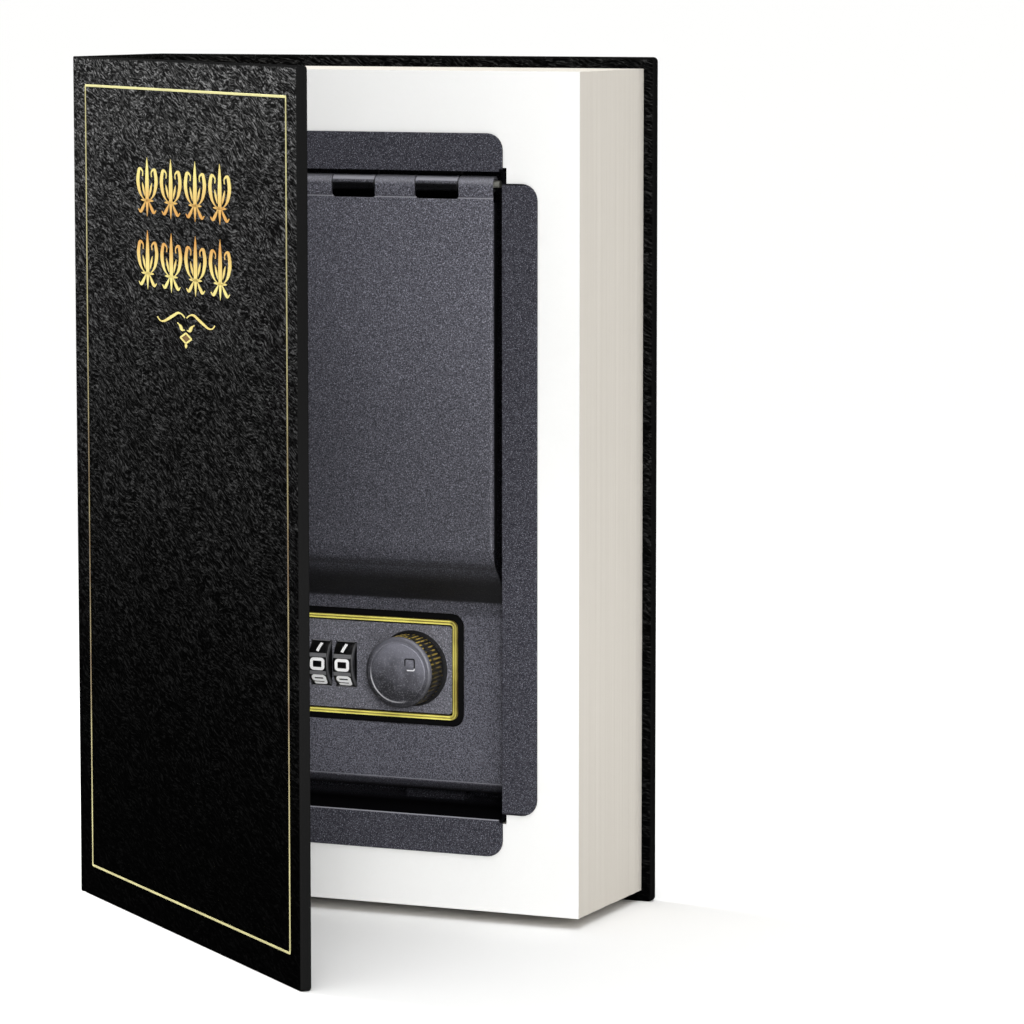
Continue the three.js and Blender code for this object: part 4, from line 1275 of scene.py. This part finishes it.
def smooth_path(corners, radius, loop=False, step=0.4):
    """Points along a line through the corners, with each corner rounded."""
    corners = [Vector(corner) for corner in corners]
    count = len(corners)
    path = []
    for i, corner in enumerate(corners):
        if not loop and i in (0, count - 1):
            path.append(corner)
            continue
        before = corners[i - 1] - corner
        after = corners[(i + 1) % count] - corner
        reach = min(radius, before.length / 2, after.length / 2)
        start = corner + before.normalized() * reach
        end = corner + after.normalized() * reach
        bend = [(start.lerp(corner, t), corner.lerp(end, t), t) for t in (0, 0.25, 0.5, 0.75, 1)]
        path += [a.lerp(b, t) for a, b, t in bend]
    if loop:
        path.append(path[0])
    dense = [path[0]]
    for a, b in zip(path, path[1:]):
        pieces = max(1, math.ceil((b - a).length / step))
        if (b - a).length > 1e-6:
            dense += [a.lerp(b, (k + 1) / pieces) for k in range(pieces)]
    return dense[:-1] if loop else dense


# %% Strokes


def strip(name, lines, thickness):
    """Flat strokes across y from (points, half widths, closed or not), with a thickness."""
    mesh = bmesh.new()
    for points, halves, loop in lines:
        count = len(points)
        rows = []
        for i, point in enumerate(points):
            after = points[(i + 1) % count] if loop or i < count - 1 else point
            before = points[i - 1] if loop or i > 0 else point
            along = (after - before).normalized() * halves[i]
            rows.append([
                mesh.verts.new(Vector((point.x + side * along.y, 0, point.y - side * along.x)) * MM)
                for side in (-1, 1)
            ])
        for a, b in zip(rows, rows[1:] + rows[:1] if loop else rows[1:]):
            mesh.faces.new((a[0], a[1], b[1], b[0]))
    data = bpy.data.meshes.new(name)
    mesh.to_mesh(data)
    mesh.free()
    piece = bpy.data.objects.new(name, data)
    bpy.context.scene.collection.objects.link(piece)
    modified(piece, "SOLIDIFY", thickness=thickness * MM, offset=0)
    return outward(piece)


# %% Numbers on a wheel
DIGIT_WIDTH, DIGIT_HEIGHT, DIGIT_CORNER = 4.5, 3.6, 0.7
STROKE, INK, INK_LIFT = 0.9, 0.08, 0.02
DIGIT_LINES = {
    0: [([(0, 0), (1, 0), (1, 1), (0, 1)], True)],
    1: [([(0.4, 0), (0.62, 1)], False)],
    2: [([(0, 1), (1, 1), (1, 0.5), (0, 0.5), (0, 0), (1, 0)], False)],
    3: [([(0, 1), (1, 1), (1, 0), (0, 0)], False), ([(0.3, 0.5), (0.9, 0.5)], False)],
    4: [([(0, 1), (0, 0.42), (1, 0.42)], False), ([(0.78, 1), (0.78, 0)], False)],
    5: [([(1, 1), (0, 1), (0, 0.52), (1, 0.52), (1, 0), (0, 0)], False)],
    6: [([(1, 1), (0, 1), (0, 0.05)], False), ([(0, 0), (1, 0), (1, 0.52), (0, 0.52)], True)],
    7: [([(0, 1), (1, 1), (0.4, 0)], False)],
    8: [([(0, 0), (1, 0), (1, 1), (0, 1)], True), ([(0.1, 0.5), (0.9, 0.5)], False)],
    9: [([(0, 0), (1, 0), (1, 0.95)], False), ([(0, 0.48), (1, 0.48), (1, 1), (0, 1)], True)],
}


def digit(number):
    """A number in its field of the drum."""
    across, up = DIGIT_WIDTH - STROKE, DIGIT_HEIGHT - STROKE
    lines = []
    for corners, loop in DIGIT_LINES[number]:
        points = smooth_path(
            [((x - 0.5) * across, (z - 0.5) * up) for x, z in corners], DIGIT_CORNER, loop,
        )
        lines.append((points, [STROKE / 2] * len(points), loop))
    piece = strip(f"digit_{number}", lines, INK)
    for vert in piece.data.vertices:
        x, y, z = vert.co / MM
        turn = number * FIELD + z / WHEEL_RADIUS
        reach = WHEEL_RADIUS + INK_LIFT - y
        place = Vector((x, -reach * math.cos(turn), reach * math.sin(turn)))
        vert.co = (wheel_centre + place) * MM
    return outward(piece)


numbers = joined("wheel_1_numbers", [digit(number) for number in range(DIGITS)])
print("numbers:", len(numbers.data.polygons), "faces")

# %% Finish and copies of the wheel


def from_axis(a, b):
    """How far a point is from the axis that a and b are measured from."""
    return (a * a + b * b) ** 0.5


wheel_finish = Finish("wheel_plastic", (0, wheel_y, lock_z))
at = wheel_finish.axes()
out = from_axis(at.y, at.z)
# The grey on the ridges and on the flank near the rim is a painted highlight, where they catch the
# light.
ridge_highlight = out.rising(WHEEL_RADIUS + 0.2, WHEEL_RADIUS + 0.34)
inside_rim = 1 - out.rising(WHEEL_RADIUS - 0.12, WHEEL_RADIUS - 0.04)
flank_highlight = out.rising(WHEEL_RADIUS - 1.4, WHEEL_RADIUS - 0.6) * inside_rim
wheel_tone = wheel_finish.mixed(flank_highlight, paint("0b0b0c"), paint("4e4e50"))
wheel_skin = wheel_finish.noise(0.35, 3.0)
wheel_plastic = wheel_finish.looks(
    wheel_finish.mixed(ridge_highlight, wheel_tone, paint("6e6e70")), 0.24 + wheel_skin * 0.1,
    wheel_finish.relief(wheel_skin, 0.01),
)

for i, (body, (low, high)) in enumerate(zip(("dial_a", "dial_b", "dial_c"), dial_boxes)):
    shift = ((low.x + high.x) / 2 - wheel_x, 0, 0)
    this_drum = copied(drum, f"wheel_{i + 1}", shift) if i else drum
    these_numbers = copied(numbers, f"wheel_{i + 1}_numbers", shift) if i else numbers
    fitted(this_drum, body, "dial", wheel_plastic, f"dial_{i + 1}")
    fitted(these_numbers, body, "dial", digit_paint)

# %% [markdown]
# ## Knob
# The knob is a slightly domed cap on a grip with forty-eight ribs. A cylinder with a bevel would
# miss the dome, the shallow ring groove near the rim and the lip over the grip, so the cap is
# turned: its half profile is spun about the knob's axis. A small plain frame marks its
# position. The grip is a cylinder whose side is drawn in between the ribs.

# %% Turned pieces
TURN_STEPS = 96


def turned(name, profile, x, z):
    """A closed half profile of (radius, y) spun about an axis along y."""
    data = bpy.data.meshes.new(name)
    points = [Vector((x + radius, y, z)) * MM for radius, y in profile]
    data.from_pydata(points, [(i, i + 1) for i in range(len(points) - 1)], [])
    piece = bpy.data.objects.new(name, data)
    bpy.context.scene.collection.objects.link(piece)
    with editing(piece):
        bpy.ops.mesh.select_all(action="SELECT")
        bpy.ops.mesh.spin(
            steps=TURN_STEPS, angle=2 * math.pi, center=Vector((x, 0, z)) * MM, axis=(0, 1, 0),
        )
    outward(piece)
    only(piece)
    bpy.ops.object.shade_smooth_by_angle(angle=math.radians(40))
    return piece


# %% Shape of the knob cap
CAP_LIP = 0.4
DOME, DOME_STEPS = 0.35, 8
GROOVE_FROM_RIM, GROOVE_HALF, GROOVE_DEPTH = 2.1, 0.3, 0.28
EDGE_RADIUS, EDGE_DROP = 1.1, 0.05
face_y = cap_low.y
cap_radius = (cap_high.x - cap_low.x) / 2 + CAP_LIP
groove_radius = cap_radius - GROOVE_FROM_RIM


def arc(radius, y, across, along, degrees):
    """Points of a half profile on an arc about (radius, y)."""
    turns = [math.radians(angle) for angle in degrees]
    return [(radius + across * math.sin(a), y + along * math.cos(a)) for a in turns]


shares = [k / DOME_STEPS for k in range(DOME_STEPS + 1)]
cap = turned("knob_cap_face", [
    *[(groove_radius * share, face_y + DOME * share ** 2) for share in shares],
    *arc(groove_radius + GROOVE_HALF, face_y + DOME, GROOVE_HALF, GROOVE_DEPTH, range(-70, 71, 20)),
    *arc(
        cap_radius - EDGE_RADIUS, face_y + DOME + EDGE_RADIUS + EDGE_DROP,
        EDGE_RADIUS, -EDGE_RADIUS, range(5, 91, 10),
    ),
    (cap_radius, cap_high.y), (0, cap_high.y),
], knob_x, lock_z)
print("cap radius:", round(cap_radius, 2))

# %% Finish of the knob cap
knob_satin = Finish("knob_satin", (knob_x, 0, lock_z))
at = knob_satin.axes()
out = from_axis(at.x, at.z)
# Painted light on the cap: paler towards the upper right, painted shade on the rim, and a painted
# highlight in the groove at the lower left.
painted_light_on_cap = (at.z * 0.8 + at.x * 0.35) * (1 / (2 * groove_radius)) + knob_satin.noise(5.0, 3.0)
skin = knob_satin.noise(0.4, 3.0)
rim = out.rising(groove_radius + 0.5, groove_radius + 1.0)
in_groove = 1 - abs(out - groove_radius - 0.35).rising(0.05, 0.3)
to_lower_left = -0.62 * at.x - at.z * 0.79
lit = in_groove * to_lower_left.rising(groove_radius * 0.45, groove_radius * 0.95)
knob_tone = knob_satin.mixed(painted_light_on_cap.rising(0.1, 1.0), paint("2c2c30"), paint("7c7c86"))
knob_tone = knob_satin.mixed(skin.rising(0.5, 0.75) * 0.4, knob_tone, paint("a4a4aa"))
knob_tone = knob_satin.mixed(rim * 0.45, knob_tone, paint("26262a"))
knob_tone = knob_satin.mixed(lit * 0.65, knob_tone, paint("c4c4c8"))
fitted(cap, "knob", "knob", knob_satin.looks(
    knob_tone, 0.36 + skin * 0.1, knob_satin.relief(skin, 0.04), Metallic=0.2,
), "knob_cap")

# %% Mark on the knob
MARK_X, MARK_Z, MARK_WIDTH, MARK_HEIGHT = 3.8, 2.5, 2.9, 3.2
MARK_HALF_STROKE, MARK_THICKNESS = 0.17, 0.12
mark_path = smooth_path(
    [(x * MARK_WIDTH / 2, z * MARK_HEIGHT / 2) for x, z in ((-1, -1), (1, -1), (1, 1), (-1, 1))],
    0.5, True, 0.2,
)
mark = strip(
    "knob_mark", [(mark_path, [MARK_HALF_STROKE] * len(mark_path), True)], MARK_THICKNESS,
)
mark_y = face_y + DOME * (MARK_X ** 2 + MARK_Z ** 2) / groove_radius ** 2
mark_place = Vector((knob_x + MARK_X, mark_y, lock_z + MARK_Z))
mark.data.transform(Matrix.Translation(mark_place * MM))
mark_finish = Finish("mark_black_and_pale", (knob_x + MARK_X, 0, lock_z + MARK_Z))
# The pale foot of the mark is a painted glint below it.
painted_glint_at_foot = 1 - mark_finish.axes().z.rising(-1.3, -0.8)
fitted(mark, "knob", "knob", mark_finish.looks(
    mark_finish.mixed(painted_glint_at_foot, paint("1c1c1e"), paint("d8d8dc")), 0.3 + mark_finish.noise(0.3) * 0.1,
))

# %% Knob grip
grip_low, grip_high = cad("knob_grip")
RIBS = 48
RIB_SIDES = 6
RIB_DEPTH, RIB_INSET = 0.4, 0.5
grip_radius = (grip_high.x - grip_low.x) / 2
grip = rod(
    "knob_ribbed_grip", (knob_x, (grip_low.y + grip_high.y) / 2, lock_z),
    grip_radius, grip_high.y - grip_low.y, "y", RIBS * RIB_SIDES,
)
with editing(grip):
    for y in (grip_low.y + RIB_INSET, grip_high.y - RIB_INSET):
        sliced(grip, (0, y, 0), (0, 1, 0))
    mesh = bmesh.from_edit_mesh(grip.data)
    for vert in mesh.verts:
        across = Vector((vert.co.x / MM - knob_x, 0, vert.co.z / MM - lock_z))
        rib = (1 - math.cos(RIBS * math.atan2(across.z, across.x))) / 2
        at_rim = min(vert.co.y / MM - grip_low.y, grip_high.y - vert.co.y / MM) < 0.1
        place = across.normalized() * (grip_radius - RIB_DEPTH * (1 if at_rim else rib))
        vert.co.x, vert.co.z = (knob_x + place.x) * MM, (lock_z + place.z) * MM
    bmesh.update_edit_mesh(grip.data)
only(grip)
bpy.ops.object.shade_smooth_by_angle(angle=math.radians(35))

grip_finish = Finish("grip_black_and_gold", (knob_x, 0, lock_z))
at = grip_finish.axes()
crest = from_axis(at.x, at.z).rising(grip_radius - 0.2, grip_radius - 0.04)
patches = grip_finish.noise(2.5, 2.0).rising(0.42, 0.58)
# The gold on the crests of the ribs is the grip's own, in patches; it fades towards the bottom as
# painted shade.
crest = crest * patches * (0.15 + at.z.rising(-1, 8) * 0.85)
fitted(grip, "knob", "knob_grip", grip_finish.looks(
    grip_finish.mixed(crest, paint("0b0a0a"), paint("e6c65c")), 0.35, Metallic=crest * 0.6,
), "knob_grip")

# %% Collar of the knob
collar_low, collar_high = cad("knob_collar")
collar_radius = (collar_high.x - collar_low.x) / 2
RIM_PROFILE = ((0.7, 0), (0.6, 0.12), (0.4, 0.12), (0.3, 0.02), (0.12, 0.05), (0, 0.2))
collar = turned("knob_collar_ring", [
    (SHAFT_BORE, collar_low.y),
    *[(collar_radius - inside, collar_low.y + depth) for inside, depth in RIM_PROFILE],
    (collar_radius, collar_high.y), (SHAFT_BORE, collar_high.y), (SHAFT_BORE, collar_low.y),
], knob_x, lock_z)
fitted(collar, "lid", "black_plastic", collar_plastic, "knob_collar")

# %% [markdown]
# ## Gold on the cover
# The cover has a fine gold line near its edge. In the large field of the upper half stands a
# plain traditional pattern of tall flowers in two rows, and under it a small ornament of two
# long scrolls, leaves and a lozenge. A mask in the leatherette would be blurred close up, and
# the foil would have no edge. Foil has almost no thickness, but a thin solid with a soft edge
# catches the light as a stamped line does.

# %% Gold line round the cover
LINE_WIDTH, LINE_WIDTH_AT_SIDES = 0.66, 0.74
LINE_SIDE, LINE_TOP, LINE_BOTTOM = 6.65, 7.7, 8.7
FOIL = 0.12
foil_y = -COVER_FACE - FOIL / 4
line = panel(
    "cover_gold_line", (COVER_START + LINE_SIDE, COVER_REACH - LINE_SIDE), foil_y,
    (LINE_BOTTOM, BOOK_HEIGHT - LINE_TOP), 0.5, 3,
)
with editing(line):
    bpy.ops.mesh.select_all(action="SELECT")
    bpy.ops.mesh.inset(thickness=LINE_WIDTH * MM)
    reach = (COVER_REACH - COVER_START) / 2 - LINE_SIDE - LINE_WIDTH
    bpy.ops.transform.resize(
        value=(1 - (LINE_WIDTH_AT_SIDES - LINE_WIDTH) / reach, 1, 1),
        center_override=Vector(((COVER_START + COVER_REACH) / 2, 0, 0)) * MM,
    )
    bpy.ops.mesh.delete(type="FACE")
modified(line, "SOLIDIFY", thickness=FOIL * MM, offset=0)
softened(line, 0.04, 2)
fitted(onto_cover(line), "front_cover", "gold_trim", border_gold)

# %% Leaves and scrolls
LEAF_STEPS = 10
SCROLL_CORNER = 6
PEN = 2.2


def leaf(start, end, width, power):
    """A pointed leaf from start to end. A lower power makes it blunter."""
    start, end = Vector(start), Vector(end)
    shares = [k / LEAF_STEPS for k in range(LEAF_STEPS + 1)]
    halves = [max(0.02, width / 2 * math.sin(math.pi * share) ** power) for share in shares]
    return ([start.lerp(end, share) for share in shares], halves, False)


def scroll(corners, width, tip):
    """A long stroke through the corners that swells in its middle."""
    points = smooth_path(corners, SCROLL_CORNER, False, 0.6)
    last = len(points) - 1
    halves = [max(tip, width / 2 * math.sin(math.pi * i / last)) for i in range(last + 1)]
    return (points, halves, False)


def foil(name, lines):
    """Strokes as of a broad pen: they are drawn narrow and then widened across."""
    piece = strip(name, lines, FOIL)
    widened = Matrix.Diagonal((PEN, 1, 1, 1))
    piece.data.transform(Matrix.Translation((0, foil_y * MM, 0)) @ widened)
    return piece


# %% Flowers
PETAL = ((0.5, -4.0), (2.3, -2.2), (3.2, 1.6), (2.5, 5.2), (1.3, 4.2), (1.5, 2.8))
FOOT_SCROLL = ((0.5, -3.8), (1.2, -5.4), (2.2, -7.2), (2.9, -6.2))


def flower(x, z):
    """A tall flower: a long leaf between two petals that curl inwards, tied near its foot."""
    lines = [
        leaf((x, z - 8.1), (x, z + 8.1), 1.15, 0.7),
        leaf((x - 2.1, z - 3.7), (x + 2.1, z - 3.7), 0.75, 0.4),
    ]
    for side in (-1, 1):
        for corners, width in ((PETAL, 1.0), (FOOT_SCROLL, 0.85)):
            line = [(x + side * reach, z + rise) for reach, rise in corners]
            lines.append(scroll(line, width, 0.14))
        lines.append(leaf((x + side * 0.75, z - 2.6), (x + side * 1.6, z + 1.2), 0.6, 0.8))
    return lines


FLOWER_XS = (54.4, 71.4, 88.4, 105.4)
FLOWER_ZS = (205.2, 185.2)
flowers = foil("cover_gold_flowers", [
    stroke for z in FLOWER_ZS for x in FLOWER_XS for stroke in flower(x / PEN, z)
])
fitted(onto_cover(flowers), "front_cover", "gold_trim", foil_gold)

# %% Ornament
ORNAMENT_X = 81.4
LONG_SCROLL = (
    (20.2, 170.1), (18.4, 169.0), (15.6, 169.0), (10.4, 170.5), (5.4, 172.1), (2.6, 171.8),
    (0.6, 170.9),
)
SIDE_LEAF = ((6.0, 169.3), (3.9, 168.6), (2.6, 167.4), (0.7, 167.6))
LOZENGE_Z, LOZENGE_WIDTH, LOZENGE_HEIGHT = 165.4, 8.4, 3.0


def lozenge(share):
    """The four corners of the lozenge, or of a smaller one inside it."""
    across, up = share * LOZENGE_WIDTH / 2, share * LOZENGE_HEIGHT / 2
    return [
        ((ORNAMENT_X + x * across) / PEN, LOZENGE_Z + z * up)
        for x, z in ((-1, 0), (0, -1), (1, 0), (0, 1))
    ]


brace = []
for side in (-1, 1):
    for corners, width, tip in ((LONG_SCROLL, 0.75, 0.17), (SIDE_LEAF, 0.95, 0.14)):
        line = [((ORNAMENT_X + side * reach) / PEN, z) for reach, z in corners]
        brace.append(scroll(line, width, tip))
rim = smooth_path(lozenge(0.92), 0.2, True, 0.3)
brace.append((rim, [0.24] * len(rim), True))
brace.append(leaf((ORNAMENT_X / PEN, 162.7), (ORNAMENT_X / PEN, 164.1), 0.8, 0.6))
ornament = foil("cover_gold_ornament", brace)
fitted(onto_cover(ornament), "front_cover", "gold_trim", foil_gold)
left, low, right, high = lozenge(0.6)
heart = foil("cover_gold_heart", [leaf(low, high, right[0] - left[0], 1)])
fitted(onto_cover(heart), "front_cover", "gold_trim", deep_gold)

# %% [markdown]
# ## Parts that keep their CAD shape
# The flat parts inside the book and the small turned parts of the lock are right as they were
# built, and modelling them again would add nothing. They only get their finishes.

# %% Finishes of the CAD parts
kept = {
    "front_cover_board": pulp_board, "back_cover_board": pulp_board, "spine_board": pulp_board,
    "back_endpaper": back_endpaper_paper, "spine_lining": back_endpaper_paper,
    "front_endpaper": black_endpaper, "flyleaf": flyleaf_paper,
    "strike_bracket": tray_paint, "hinge_pin": pin_steel,
    "lock_housing": case_plastic, "reset_lever": case_plastic,
    "code_sleeve_1": turned_brass, "code_sleeve_2": turned_brass, "code_sleeve_3": turned_brass,
}
for name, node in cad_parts.items():
    for slot in node.material_slots:
        slot.material = kept.get(name, zinc_steel)
shown = sorted(name for name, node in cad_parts.items() if not node.hide_render)
print("kept:", ", ".join(shown))

# %% [markdown]
# ## Size
# Both boxes are printed: that of the CAD parts and that of all that is shown.

# %% Size and end
seen_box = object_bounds()
for name, box in (("cad", cad_box), ("seen", seen_box)):
    print(name, [round(c / MM, 2) for corner in box for c in corner])
